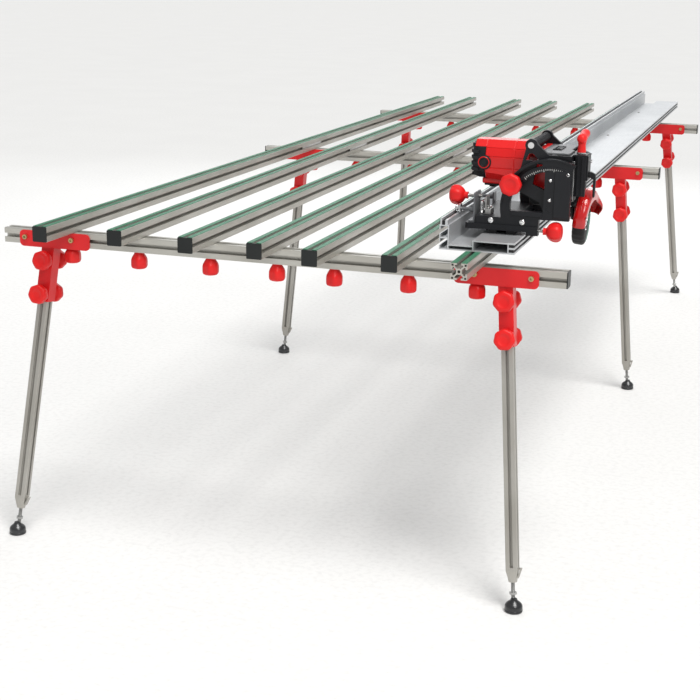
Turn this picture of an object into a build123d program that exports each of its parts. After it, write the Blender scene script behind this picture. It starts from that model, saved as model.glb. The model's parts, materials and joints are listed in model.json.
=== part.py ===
from build123d import *
import math
import os

# Slab-cutting workbench: an aluminium slatted table on six splayed legs, with a
# guide rail and a rail-guided bevelling saw. Millimetres, +Z up, +Y along the slats,
# away from the end where the saw is parked, +X towards the side that the blade is on.
# Everything is laid out about the middle of the table, then moved so that the origin
# is the centre of the whole machine's box at floor level.

# ---------------------------------------------------------------- driving sizes
table_height = 888.0
slat_side = 40.0
slat_bar_length = 2000.0
beam_length = 1534.0
strip_thickness = 1.2
strip_width = 13.0
running_gap = 0.3
fit_gap = 0.05

# each slat: middle of its near end (x, y) and how far it is turned out of true
slat_places = [
    (-572.0, -2053.0, 0.0),
    (-372.0, -2027.0, -0.5),
    (-167.0, -2042.0, 0.0),
    (19.0, -2044.0, 0.0),
    (173.0, -2071.0, 0.55),
    (370.0, -2061.0, 0.0),
    (545.0, -2084.0, 0.0),
]
open_ended_slats = [7]

# each cross beam: name, middle (x, y), and which of its ends carry a cap
beam_places = [
    ("front_cross_beam", 0.0, -1890.0, [1]),
    ("middle_cross_beam", 4.0, 0.0, [-1, 1]),
    ("far_cross_beam", 8.0, 1525.0, [-1, 1]),
]

# each leg: name, beam index, x at the beam, x of the foot, y of the foot from the beam
leg_places = [
    ("near_left", 0, -636.0, -714.0, -119.0),
    ("near_right", 0, 619.0, 697.0, -119.0),
    ("middle_left", 1, -615.0, -693.0, 0.0),
    ("middle_right", 1, 633.0, 711.0, 0.0),
    ("far_left", 2, -630.0, -708.0, 194.0),
    ("far_right", 2, 638.0, 716.0, 194.0),
]

# slotted extrusion of the slats and beams
profile_corner = 2.0
profile_mouth = 10.0
profile_lip = 4.5
profile_slot_width = 20.0
profile_slot_shoulder = 3.0
profile_slot_depth = 13.0
profile_slot_floor = 9.0
profile_bore = 7.0
profile_pocket = 5.0

# slotted extrusion of the legs
leg_side = 30.0
leg_mouth = 8.2
leg_lip = 2.2
leg_slot_width = 16.0
leg_slot_shoulder = 2.4
leg_slot_depth = 9.0
leg_slot_floor = 6.0
leg_bore = 6.6
leg_top_gap = 6.0

# joiner bars, caps and clamps
joiner_length = 210.0
joiner_width = 18.0
joiner_thickness = 2.6
cap_thickness = 3.0
cap_peg_length = 12.0
clamp_bolt_radius = 4.0
clamp_head_side = 15.0
clamp_head_thickness = 5.0
clamp_hole_gap = 0.5
slat_knob_radius = 20.5
slat_knob_skirt = 20.0
slat_knob_cone = 26.0
slat_knob_hub_radius = 12.0
knob_hub_radius = 9.0

# leg brackets
bracket_thickness = 4.0
bracket_outer_reach = 82.0
bracket_inner_reach = 128.0
bracket_shelf_reach = 24.0
bracket_corner = 12.0
bracket_drop = 2.0
bracket_bolt_inset = 18.0
bracket_bolt_spacing = 140.0
socket_wall = 3.2
socket_length = 150.0
leg_knob_upper = 38.0
leg_knob_spacing = 92.0
leg_knob_radius = 27.5
leg_knob_head = 22.0
leg_knob_hub = 12.0
leg_bolt_radius = 3.7
leg_head_side = 13.0
leg_head_thickness = 3.0

# legs and feet
foot_pad_radius = 23.0
foot_pad_height = 34.0
foot_neck_radius = 11.0
foot_stem_radius = 5.0
foot_stem_shown = 40.0
foot_stem_inside = 60.0
foot_nut_across = 17.0
foot_nut_thickness = 6.0
leg_end_height = 38.0
leg_end_tip_radius = 11.0
leg_lever_length = 26.0

# guide rail: x is measured from the table's middle, heights from the slat tops
rail_near_end = -1948.0
rail_bar_length = 1924.0
rail_wall_left = 460.0
rail_wall_right = 484.0
rail_wall_height = 60.0
rail_wall_shelf = 27.0
rail_left_lip_height = 76.0
rail_right_lip_height = 72.0
rail_left_lip = (462.0, 466.0)
rail_right_lip = (474.0, 480.0)
rail_floor_top = 13.5
rail_deck_left = 542.0
rail_deck_right = 631.0
rail_deck_height = 27.0
rail_edge_right = 645.0
rail_edge_height = 28.0
rail_wall = 3.0
rail_edge_web = 4.6
rail_slot_lip = 11.0
rail_strip_height = 9.5
rail_strip_recess = 2.5

# saw: its middle along the rail, and its carriage
saw_y = -1722.0
saw_length = 256.0
carriage_left = 498.0
carriage_ledge_left = 524.0
carriage_cut_left = 620.0
carriage_right = 680.0
carriage_bottom = table_height + 38.0
carriage_step = table_height + 52.0
carriage_top = table_height + 70.0
carriage_end_bar = 19.0
carriage_skirt_drop = 8.0
glide_width = 20.0
glide_places = (556.0, 600.0)
carriage_bolt_columns = (562.0, 640.0)
carriage_bolt_z = table_height + 61.0

# bevel pivot, quadrants and head frame
pivot_x = 705.0
pivot_z = table_height + 97.0
pivot_radius = 9.0
pivot_boss_radius = 17.0
quadrant_thickness = 16.0
band_outer = 121.0
band_inner = 98.0
band_start = 62.0
band_end = 190.0
stud_angle = 149.0
bevel_range = 45.0
stud_radius = 4.0
pillar_left = 690.0
pillar_right = 753.0
quadrant_bar_top = table_height + 88.0
head_gap = 4.0
cheek_thickness = 12.0
handle_x = 650.0
handle_z = table_height + 246.0
handle_radius = 10.0
cover_thickness = 4.0
cover_left = 667.0
cover_right = 742.0
head_top = table_height + 224.0
switch_pin_radius = 1.3
slideway_left = 740.0
slideway_right = 748.0
slideway_bottom = table_height + 116.0

# plunge column
column_y = -1768.0
column_right = 779.0
column_wall = 6.0
column_half_depth = 24.0
column_bottom = table_height + 160.0
thumb_z = table_height + 208.0
lever_z = table_height + 174.0
plunge_up = 20.0
plunge_down = 20.0
screw_x = 762.0
screw_radius = 5.0
nut_side = 24.0
nut_height = 22.0
nut_z = table_height + 174.0
crank_bar_z = table_height + 262.0
crank_bar_front = 18.0
crank_bar_back = 54.0
crank_bar_rise = 9.0
crank_bar_radius = 12.0
crank_hub_radius = 9.0

# motor, gear case, blade and guard
motor_left = 513.0
motor_right = 636.0
motor_z = table_height + 196.0
motor_half = 46.0
motor_top = 49.0
motor_cap_length = 26.0
brush_x = 520.0
brush_radius = 12.0
gear_case_left = 640.0
gear_case_right = 738.0
gear_case_half = 60.0
gear_case_bottom = table_height + 94.0
gear_case_top = table_height + 198.0
neck_left = 690.0
neck_half = 32.0
blade_x = 768.5
blade_z = table_height + 62.5
blade_radius = 62.5
blade_thickness = 2.2
blade_bore = 11.1
guard_left = 752.0
guard_width = 33.0
guard_radius = 72.0
guard_wall = 2.5
arbor_radius = 8.0
flange_radius = 20.0

# lock knobs of the carriage and of the bevel
wall_knob_y = -1797.0
wall_knob_z = table_height + 109.0
wall_knob_face = 446.0
edge_knob_face = 738.0
edge_knob_z = table_height + 43.0
saw_knob_radius = 25.0
saw_knob_head = 38.0
saw_knob_hub = 8.0
saw_knob_shaft = 36.0
bevel_knob_radius = 27.0
bevel_knob_head = 20.0
roller_radius = 12.0
roller_groove_radius = 10.0
roller_width = 12.0
roller_inset = 22.0

# ---------------------------------------------------------------- worked out from them
slat_top = table_height - strip_thickness
slat_bottom = slat_top - slat_side
beam_bottom = slat_bottom - slat_side
rail_base = table_height
deck_z = rail_base + rail_deck_height
saw_front = saw_y - saw_length / 2
saw_back = saw_y + saw_length / 2
saw_ends = [(saw_front, 1), (saw_back, -1)]
band_middle = (band_outer + band_inner) / 2
switch_pivot_z = head_top + cover_thickness / 2
cheek_front = saw_front + carriage_end_bar + head_gap


# ---------------------------------------------------------------- helpers
def block(x0, x1, y0, y1, z0, z1):
    middle = Pos((x0 + x1) / 2, (y0 + y1) / 2, (z0 + z1) / 2)
    return middle * Box(abs(x1 - x0), abs(y1 - y0), abs(z1 - z0))


def rod(start, end, radius, end_radius=None):
    """A round bar, or a cone, from one point to another."""
    axis = Vector(*end) - Vector(*start)
    place = Plane(origin=start, z_dir=axis)
    if end_radius is None:
        return place * Cylinder(radius, axis.length, align=(Align.CENTER, Align.CENTER, Align.MIN))
    return place * Cone(radius, end_radius, axis.length, align=(Align.CENTER, Align.CENTER, Align.MIN))


def rounded_block(x0, x1, y0, y1, z0, z1, radius, axis):
    """A block with its four edges along one axis rounded."""
    body = block(x0, x1, y0, y1, z0, z1)
    return fillet(body.edges().filter_by(axis), radius)


def slotted_section(side, corner, mouth, lip, width, shoulder, depth, floor, bore, pocket):
    """A square section with a T-slot in every face and a hollow in every corner."""
    half = side / 2
    slot = [
        (mouth / 2, half + 1.0),
        (mouth / 2, half - lip),
        (width / 2, half - lip),
        (width / 2, half - lip - shoulder),
        (floor / 2, half - depth),
    ]
    outline = slot + [(-x, y) for x, y in reversed(slot)]
    section = RectangleRounded(side, side, corner) - Circle(bore / 2)
    offset = half - pocket / 2 - 2.0
    for quarter in range(4):
        section -= Rot(0, 0, 90 * quarter) * Polygon(*outline, align=None)
        if pocket > 0:
            section -= Rot(0, 0, 90 * quarter) * Pos(offset, offset) * Rectangle(pocket, pocket)
    return section


def lobed_knob(radius, head, hub_radius, hub, bore, lobes):
    """A knob on the Z axis: its hub starts at z = 0 and its lobed head is above it."""
    outline = Circle(radius * 0.86)
    for index in range(lobes):
        turn = Rot(0, 0, 360 * index / lobes)
        outline += turn * Pos(radius * 0.64, 0) * Circle(radius * 0.36)
    body = Pos(0, 0, hub) * extrude(outline, head)
    body = chamfer(body.faces().sort_by(Axis.Z)[-1].edges(), min(2.0, head * 0.1))
    body += Cone(hub_radius, radius * 0.8, hub + 0.01, align=(Align.CENTER, Align.CENTER, Align.MIN))
    return body - Cylinder(bore, hub + head * 0.7, align=(Align.CENTER, Align.CENTER, Align.MIN))


def slat_point(index, y):
    """The x of a slat's middle line where it crosses a given y."""
    x, near, turn = slat_places[index]
    return x - math.tan(math.radians(turn)) * (near - y)


def slat_frame(index):
    """A place at a slat's near end, with Z along the slat."""
    x, near, turn = slat_places[index]
    return Pos(x, near, slat_top - slat_side / 2) * Rot(0, 0, -turn) * Rot(-90, 0, 0)


# ---------------------------------------------------------------- table
slat_section = slotted_section(slat_side, profile_corner, profile_mouth, profile_lip, profile_slot_width,
                               profile_slot_shoulder, profile_slot_depth, profile_slot_floor,
                               profile_bore, profile_pocket)
leg_section = slotted_section(leg_side, profile_corner, leg_mouth, leg_lip, leg_slot_width,
                              leg_slot_shoulder, leg_slot_depth, leg_slot_floor, leg_bore, 0.0)
nodes = {}


def make_slats():
    for index in range(len(slat_places)):
        bar = extrude(slat_section, slat_bar_length)
        frame = slat_frame(index)
        nodes[f"slat_{index + 1}"] = [frame * bar, frame * Pos(0, 0, slat_bar_length) * bar]


def make_grip_strips():
    strips = []
    offset = profile_mouth / 2 + 0.5 + strip_width / 2
    for index in range(len(slat_places)):
        for side in (-1, 1):
            for bar in (0, 1):
                place = Pos(side * offset, -slat_side / 2 - strip_thickness / 2, slat_bar_length * (bar + 0.5))
                strips.append(slat_frame(index) * place * Box(strip_width, strip_thickness, slat_bar_length))
    nodes["slat_grip_strips"] = strips


def make_joiner_plates():
    plates = []
    for index in range(len(slat_places)):
        for side in (-1, 1):
            depth = slat_side / 2 - profile_lip - joiner_thickness / 2
            place = Pos(side * depth, 0, slat_bar_length)
            plates.append(slat_frame(index) * place * Box(joiner_thickness, joiner_width, joiner_length))
    plate_x = rail_wall_left + rail_wall + joiner_thickness / 2
    for low in (rail_base + rail_wall, rail_base + rail_wall_shelf + rail_wall):
        height = joiner_width + 1.0
        middle = rail_near_end + rail_bar_length
        plates.append(block(plate_x - joiner_thickness / 2, plate_x + joiner_thickness / 2,
                            middle - joiner_length / 2, middle + joiner_length / 2, low + 1, low + 1 + height))
    nodes["joiner_plates"] = plates


def beam_crossings(beam_y):
    return [slat_point(index, beam_y) for index in range(len(slat_places))]


def make_beams():
    for name, middle_x, middle_y, _ in beam_places:
        bar = Rot(0, 90, 0) * extrude(slat_section, beam_length)
        beam = Pos(middle_x - beam_length / 2, middle_y, beam_bottom + slat_side / 2) * bar
        for x in beam_crossings(middle_y):
            start = (x, middle_y, beam_bottom - 1)
            beam -= rod(start, (x, middle_y, slat_bottom + 1), clamp_bolt_radius + clamp_hole_gap)
        nodes[name] = [beam]


def make_end_cap():
    """A cap in the XY plane whose peg points up."""
    plate = extrude(RectangleRounded(slat_side, slat_side, profile_corner + 1), cap_thickness)
    peg = Pos(0, 0, cap_thickness) * Cylinder(profile_bore / 2 - fit_gap, cap_peg_length,
                                              align=(Align.CENTER, Align.CENTER, Align.MIN))
    return plate + peg


def make_end_caps():
    cap = make_end_cap()
    caps = []
    for index in range(len(slat_places)):
        if index + 1 not in open_ended_slats:
            caps.append(slat_frame(index) * Pos(0, 0, -cap_thickness) * cap)
    for _, middle_x, middle_y, ends in beam_places:
        for end in ends:
            place = Pos(middle_x + end * (beam_length / 2 + cap_thickness), middle_y, beam_bottom + slat_side / 2)
            caps.append(place * Rot(0, -90 * end, 0) * cap)
    nodes["profile_end_caps"] = caps


def make_slat_clamps():
    bolts = []
    knobs = []
    knob = lobed_knob(slat_knob_radius, slat_knob_skirt, slat_knob_hub_radius, slat_knob_cone,
                      clamp_bolt_radius + fit_gap, 6)
    for _, _, beam_y, _ in beam_places:
        for index, x in enumerate(beam_crossings(beam_y)):
            seat = slat_bottom + profile_lip
            head = Pos(x, beam_y, seat + clamp_head_thickness / 2) * Rot(0, 0, -slat_places[index][2])
            bolt = head * Box(clamp_head_side, clamp_head_side, clamp_head_thickness)
            bolt += rod((x, beam_y, beam_bottom - slat_knob_cone - 8), (x, beam_y, seat), clamp_bolt_radius)
            bolts.append(bolt)
            knobs.append(Pos(x, beam_y, beam_bottom) * Rot(180, 0, 0) * knob)
    nodes["slat_clamp_knobs"] = knobs
    return bolts


# ---------------------------------------------------------------- legs
def leg_axis(leg):
    """The leg's top point, its foot point, and a place at the top with Z up the leg."""
    _, beam, x_top, x_foot, lean = leg
    beam_y = beam_places[beam][2]
    top = Vector(x_top, beam_y, beam_bottom - bracket_drop - bracket_thickness)
    foot = Vector(x_foot, beam_y + lean, 0)
    up = (top - foot).normalized()
    across = (Vector(1, 0, 0) - up * up.X).normalized()
    return top, foot, Plane(origin=top, x_dir=across, z_dir=up)


def make_bracket(leg):
    """An angle under and in front of the beam, with a square socket for the leg."""
    top, _, frame = leg_axis(leg)
    beam_y = beam_places[leg[1]][2]
    side = 1 if leg[2] > 0 else -1
    outer = leg[2] + side * bracket_outer_reach
    inner = leg[2] - side * bracket_inner_reach
    front = beam_y - slat_side / 2
    low = top.Z
    plate = rounded_block(outer, inner, front - bracket_thickness, front, low, slat_bottom - bracket_drop,
                          bracket_corner, Axis.Y)
    plate += block(outer - side * bracket_corner, inner + side * bracket_corner, front - bracket_thickness,
                   front, low, low + bracket_corner)
    shelf = block(leg[2] - bracket_shelf_reach, leg[2] + bracket_shelf_reach, front - bracket_thickness,
                  beam_y + slat_side / 2, low, low + bracket_thickness)
    inside = leg_side + 2 * running_gap
    outside = inside + 2 * socket_wall
    tube = frame * Pos(0, 0, -socket_length / 2 + 10) * Box(outside, outside, socket_length + 20)
    bore = frame * Pos(0, 0, -socket_length / 2) * Box(inside, inside, 2 * socket_length)
    tube -= bore
    tube -= block(leg[2] - 100, leg[2] + 100, beam_y - 100, beam_y + 100, low, low + 60)
    body = plate + shelf + tube
    for drop in (leg_knob_upper, leg_knob_upper + leg_knob_spacing):
        hole = Cylinder(leg_bolt_radius + clamp_hole_gap, outside + 10)
        body -= frame * Pos(0, 0, -drop) * Rot(90, 0, 0) * hole
    for x in bracket_bolt_places(leg):
        z = bracket_bolt_z()
        body -= rod((x, front - bracket_thickness - 1, z), (x, front + 1, z), clamp_bolt_radius + clamp_hole_gap)
    return body


def bracket_bolt_places(leg):
    side = 1 if leg[2] > 0 else -1
    outer = leg[2] + side * (bracket_outer_reach - bracket_bolt_inset)
    return [outer, outer - side * bracket_bolt_spacing]


def bracket_bolt_z():
    return beam_bottom + slat_side / 2


def make_brackets():
    nodes["leg_brackets"] = [make_bracket(leg) for leg in leg_places]
    screws = []
    for leg in leg_places:
        front = beam_places[leg[1]][2] - slat_side / 2
        z = bracket_bolt_z()
        for x in bracket_bolt_places(leg):
            face = front - bracket_thickness
            screw = rod((x, face - 7, z), (x, face, z), 6.5)
            screw += rod((x, face, z), (x, front + profile_lip + 4, z), clamp_bolt_radius)
            screw -= Pos(x, face - 7, z) * Rot(90, 0, 0) * extrude(RegularPolygon(3.5, 6), 4, both=True)
            screws.append(screw)
    nodes["bracket_bolts"] = screws


def make_leg_clamps():
    """Knobs in front of and behind each socket, and their T-bolts in the leg's slots."""
    bolts = []
    knobs = []
    wall_face = leg_side / 2 + running_gap + socket_wall
    knob = lobed_knob(leg_knob_radius, leg_knob_head, knob_hub_radius, leg_knob_hub,
                      leg_bolt_radius + fit_gap, 5)
    head_z = leg_side / 2 - leg_lip - running_gap - leg_head_thickness
    for leg in leg_places:
        frame = leg_axis(leg)[2]
        for drop in (leg_knob_upper, leg_knob_upper + leg_knob_spacing):
            for turn in (90, -90):
                out = frame * Pos(0, 0, -drop) * Rot(turn, 0, 0)
                knobs.append(out * Pos(0, 0, wall_face) * knob)
                head = Box(leg_head_side, leg_head_side, leg_head_thickness,
                           align=(Align.CENTER, Align.CENTER, Align.MIN))
                shank = Cylinder(leg_bolt_radius, wall_face + leg_knob_hub + 8 - head_z,
                                 align=(Align.CENTER, Align.CENTER, Align.MIN))
                bolts.append(out * Pos(0, 0, head_z) * (head + shank))
    nodes["leg_clamp_knobs"] = knobs
    return bolts


def make_leg(leg):
    """The post and, in its lower end, the tapered fitting with its thumb lever."""
    _, foot, frame = leg_axis(leg)
    whole = (frame.origin - foot).length
    tilt = frame.z_dir.Z
    post_end = whole - (foot_pad_height / tilt + foot_stem_shown + leg_end_height)
    post = extrude(leg_section, -(post_end - leg_top_gap))
    post = frame * Pos(0, 0, -leg_top_gap) * post
    collar = extrude(RectangleRounded(leg_side, leg_side, profile_corner), -8)
    taper = loft([Pos(0, 0, -8) * RectangleRounded(leg_side, leg_side, profile_corner),
                  Pos(0, 0, -leg_end_height) * Circle(leg_end_tip_radius)])
    lever = Pos(leg_side / 2 + 3, 0, -leg_end_height * 0.4) * Rot(0, 20, 0) * Box(4, 10, leg_lever_length)
    lever += Pos(leg_side / 2 - 2, 0, -5) * Box(12, 10, 5)
    fitting = collar + taper + lever
    fitting -= Pos(0, 0, -leg_end_height) * Cylinder(foot_stem_radius + fit_gap, 2 * leg_end_height)
    return [post, frame * Pos(0, 0, -post_end) * fitting]


def make_foot(leg):
    """The threaded stem with its nut, and the pad that lies flat on the floor."""
    _, foot, frame = leg_axis(leg)
    stem_start = foot + frame.z_dir * (foot_pad_height / frame.z_dir.Z - 4)
    inside = min(foot_stem_inside, leg_end_height - 6)
    stem_end = stem_start + frame.z_dir * (4 + foot_stem_shown + inside)
    stem = rod(stem_start, stem_end, foot_stem_radius)
    nut = Plane(origin=stem_start, x_dir=frame.x_dir, z_dir=frame.z_dir) * Pos(0, 0, 12)
    stem += nut * extrude(RegularPolygon(foot_nut_across / 2, 6, major_radius=False), foot_nut_thickness)
    x, y = foot.X, foot.Y
    pad = rod((x, y, 0), (x, y, 10), foot_pad_radius)
    pad += rod((x, y, 10), (x, y, foot_pad_height), foot_pad_radius, foot_neck_radius)
    pad = chamfer(pad.faces().sort_by(Axis.Z)[0].edges(), 1.5)
    pad -= stem
    return [stem, pad]


def make_legs():
    for leg in leg_places:
        nodes[f"leg_{leg[0]}"] = make_leg(leg)
        nodes[f"foot_{leg[0]}"] = make_foot(leg)


# ---------------------------------------------------------------- guide rail
def rail_section():
    """The rail's cross section in x and height, as webs added together."""
    t = rail_wall
    left, right = rail_wall_left, rail_wall_right
    shelf = rail_wall_shelf
    thick = rail_edge_web
    edge_middle = rail_edge_height / 2
    webs = [
        (right - t, right, 0, rail_wall_height),
        (left, rail_edge_right, 0, t),
        (left, right, shelf, shelf + t),
        (left, right, rail_wall_height - t, rail_wall_height),
        (left, left + t, 0, rail_slot_lip),
        (left, left + t, shelf - rail_slot_lip + t, shelf + rail_slot_lip),
        (left, left + t, rail_wall_height - rail_slot_lip, rail_wall_height),
        (rail_left_lip[0], rail_left_lip[1], rail_wall_height - t, rail_left_lip_height),
        (rail_right_lip[0], rail_right_lip[1], rail_wall_height - t, rail_right_lip_height),
        (right - t, rail_deck_left + t, rail_floor_top - t, rail_floor_top),
        (rail_deck_left, rail_deck_left + t, 0, rail_deck_height),
        (rail_deck_left, rail_deck_right, rail_deck_height - t, rail_deck_height),
        (rail_deck_right - t, rail_deck_right, 0, rail_deck_height),
        (rail_deck_right - t, rail_edge_right, rail_edge_height - thick, rail_edge_height),
        (rail_deck_right - t, rail_edge_right, edge_middle - thick / 2, edge_middle + thick / 2),
        (rail_deck_right - t, rail_edge_right, 0, thick),
    ]
    section = None
    for x0, x1, z0, z1 in webs:
        web = Pos((x0 + x1) / 2, (z0 + z1) / 2) * Rectangle(x1 - x0, z1 - z0)
        section = web if section is None else section + web
    return section


def along_rail(section, start, length):
    """A section drawn in x and height, drawn out along +Y."""
    return Pos(0, start, rail_base) * Rot(90, 0, 0) * extrude(section, -length)


def make_rail():
    section = rail_section()
    starts = [rail_near_end, rail_near_end + rail_bar_length]
    nodes["guide_rail"] = [along_rail(section, start, rail_bar_length) for start in starts]
    strips = []
    grip_x = (rail_left_lip[1] + rail_right_lip[0]) / 2
    grip_width = rail_right_lip[0] - rail_left_lip[1]
    edge_height = (rail_edge_height - 3 * rail_edge_web) / 2
    for start in starts:
        grip = Pos(grip_x, rail_wall_height + rail_strip_height / 2) * Rectangle(grip_width, rail_strip_height)
        strips.append(along_rail(grip, start, rail_bar_length))
        for low in (rail_edge_web, rail_edge_height / 2 + rail_edge_web / 2):
            filler_x = (rail_deck_right + rail_edge_right - rail_strip_recess) / 2
            width = rail_edge_right - rail_strip_recess - rail_deck_right
            filler = Pos(filler_x, low + edge_height / 2) * Rectangle(width, edge_height)
            strips.append(along_rail(filler, start, rail_bar_length))
    nodes["rail_rubber_strips"] = strips


# ---------------------------------------------------------------- saw carriage
def at_saw_end(end):
    """From the outer face of one end of the saw, a step inwards is along this sign."""
    face, inward = saw_ends[end]
    return face, inward


def end_block(end, x0, x1, depth0, depth1, z0, z1):
    face, inward = at_saw_end(end)
    return block(x0, x1, face + inward * depth0, face + inward * depth1, z0, z1)


def carriage_bolt_places():
    return [(x, carriage_bolt_z) for x in carriage_bolt_columns]


def make_carriage():
    base = rounded_block(carriage_left, carriage_cut_left + 6, saw_front, saw_back, carriage_bottom,
                         carriage_step, 8, Axis.Z)
    base += block(carriage_ledge_left, carriage_cut_left, saw_front + 5, saw_back - 5, carriage_step, carriage_top)
    for end in (0, 1):
        base += end_block(end, carriage_left + 30, carriage_right, 0, carriage_end_bar, carriage_bottom, carriage_step)
        base += end_block(end, carriage_ledge_left, carriage_right, 3, carriage_end_bar, carriage_step, carriage_top)
        base += end_block(end, rail_edge_right + 5, carriage_right, 0, carriage_end_bar,
                          carriage_bottom - carriage_skirt_drop, carriage_bottom)
        face, inward = at_saw_end(end)
        for x, z in carriage_bolt_places():
            base -= rod((x, face - inward, z), (x, face + inward * 16, z), 3.0)
    knob_y = saw_front + carriage_end_bar / 2
    base -= rod((carriage_left + 120, knob_y, edge_knob_z), (carriage_right + 1, knob_y, edge_knob_z), 4.0 + fit_gap)
    nodes["carriage_base"] = [base]
    pads = []
    for x in glide_places:
        pads.append(block(x, x + glide_width, saw_front + 12, saw_back - 12, deck_z + running_gap, carriage_bottom))
    nodes["glide_pads"] = pads
    bolts = []
    for end in (0, 1):
        face, inward = at_saw_end(end)
        for x, z in carriage_bolt_places():
            bolt = rod((x, face + inward * 3, z), (x, face + inward * 15, z), 3.0)
            dome = Pos(x, face + inward * 3, z) * Rot(90 * inward, 0, 0) * Cylinder(
                7.5, 3.5, align=(Align.CENTER, Align.CENTER, Align.MIN))
            dome = fillet(dome.edges().filter_by(GeomType.CIRCLE), 1.2)
            bolts.append(bolt + dome)
    nodes["carriage_bolts"] = bolts


def roller_places():
    return [("front_wall_roller", saw_front + roller_inset), ("rear_wall_roller", saw_back - roller_inset)]


def roller_x():
    return (rail_right_lip[0] + rail_right_lip[1]) / 2


def roller_z():
    return rail_base + rail_right_lip_height + roller_groove_radius + running_gap


def make_wall_guide():
    """Bracket on the carriage's left edge that carries the wall rollers and the lock screw."""
    plate_left = carriage_left + 18
    plate_right = carriage_left + 22
    guide = block(carriage_left + 6, plate_right, saw_front + 10, saw_back - 6, carriage_step, carriage_step + 4)
    guide += block(plate_left, plate_right, saw_front + 10, wall_knob_y + 16, carriage_step, wall_knob_z + 15)
    guide += block(plate_left, plate_right, saw_back - 34, saw_back - 6, carriage_step, roller_z() + 12)
    start = roller_x() - roller_width / 2 - 3
    for name, y in roller_places():
        guide += rod((start, y, roller_z()), (plate_left + 1, y, roller_z()), 4.0)
        guide += rod((plate_left - 12, y, roller_z()), (plate_left + 1, y, roller_z()), 7.0)
        wheel = rod((roller_x() - roller_width / 2, y, roller_z()), (roller_x() + roller_width / 2, y, roller_z()),
                    roller_radius)
        lip_half = (rail_right_lip[1] - rail_right_lip[0]) / 2 + 0.6
        groove = rod((roller_x() - lip_half, y, roller_z()), (roller_x() + lip_half, y, roller_z()), roller_radius + 1)
        groove -= rod((roller_x() - lip_half, y, roller_z()), (roller_x() + lip_half, y, roller_z()),
                      roller_groove_radius)
        wheel -= groove
        wheel -= rod((start - 1, y, roller_z()), (plate_left, y, roller_z()), 4.0 + fit_gap)
        nodes[name] = [wheel]
    guide -= rod((plate_left - 5, wall_knob_y, wall_knob_z), (plate_right + 1, wall_knob_y, wall_knob_z), 4.0 + fit_gap)
    nodes["wall_guide_bracket"] = [guide]


def knob_with_shaft(radius, head, hub, shaft, shaft_radius=4.0, lobes=5):
    """A star knob on the Z axis, its head above z = 0 and its screw below."""
    body = lobed_knob(radius, head, knob_hub_radius, hub, shaft_radius, lobes)
    screw = Pos(0, 0, -shaft) * Cylinder(shaft_radius, shaft + hub + head * 0.6,
                                         align=(Align.CENTER, Align.CENTER, Align.MIN))
    return body + screw


def make_lock_knobs():
    knob = knob_with_shaft(saw_knob_radius, saw_knob_head, saw_knob_hub, saw_knob_shaft)
    start = wall_knob_face + saw_knob_head + saw_knob_hub
    nodes["wall_lock_knob"] = [Pos(start, wall_knob_y, wall_knob_z) * Rot(0, -90, 0) * knob]
    start = edge_knob_face - saw_knob_head - saw_knob_hub
    knob_y = saw_front + carriage_end_bar / 2
    nodes["edge_lock_knob"] = [Pos(start, knob_y, edge_knob_z) * Rot(0, 90, 0) * knob]


# ---------------------------------------------------------------- bevel quadrants and head
def on_end(sketch, end, depth0, depth1):
    """A sketch in x and z about the pivot, made into a plate at one end of the saw."""
    face, inward = at_saw_end(end)
    y0 = face + inward * depth0
    plate = extrude(sketch, -inward * (depth1 - depth0))
    return Pos(pivot_x, y0, pivot_z) * Rot(90, 0, 0) * plate


def ring_sector(outer, inner, start, end):
    """A flat band about the origin between two angles in degrees."""
    points = [(0, 0)]
    steps = 12
    for step in range(steps + 1):
        angle = math.radians(start + (end - start) * step / steps)
        points.append((outer * 1.5 * math.cos(angle), outer * 1.5 * math.sin(angle)))
    return (Circle(outer) - Circle(inner)) & Polygon(*points, align=None)


def stud_slot():
    """The curved slot that the bevel stud runs in."""
    low = stud_angle - bevel_range
    slot_half = stud_radius + 0.6
    slot = ring_sector(band_middle + slot_half, band_middle - slot_half, low, stud_angle)
    for angle in (low, stud_angle):
        x = band_middle * math.cos(math.radians(angle))
        z = band_middle * math.sin(math.radians(angle))
        slot += Pos(x, z) * Circle(slot_half)
    return slot


def rel(x0, x1, z0, z1):
    """A rectangle given in x and z, placed about the pivot."""
    return Pos((x0 + x1) / 2 - pivot_x, (z0 + z1) / 2 - pivot_z) * Rectangle(x1 - x0, z1 - z0)


def make_quadrants():
    band_left = pivot_x - band_outer
    plates = []
    for end in (0, 1):
        sketch = ring_sector(band_outer, band_inner, band_start, band_end)
        sketch += rel(band_left + 2, pillar_right, carriage_top, quadrant_bar_top)
        sketch += rel(pillar_left, pillar_right, carriage_top, pivot_z + band_inner)
        sketch += Circle(pivot_boss_radius)
        sketch -= stud_slot()
        sketch -= Circle(pivot_radius + fit_gap)
        plates.append(on_end(sketch, end, 3, carriage_end_bar))
    nodes["bevel_quadrants"] = plates


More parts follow.
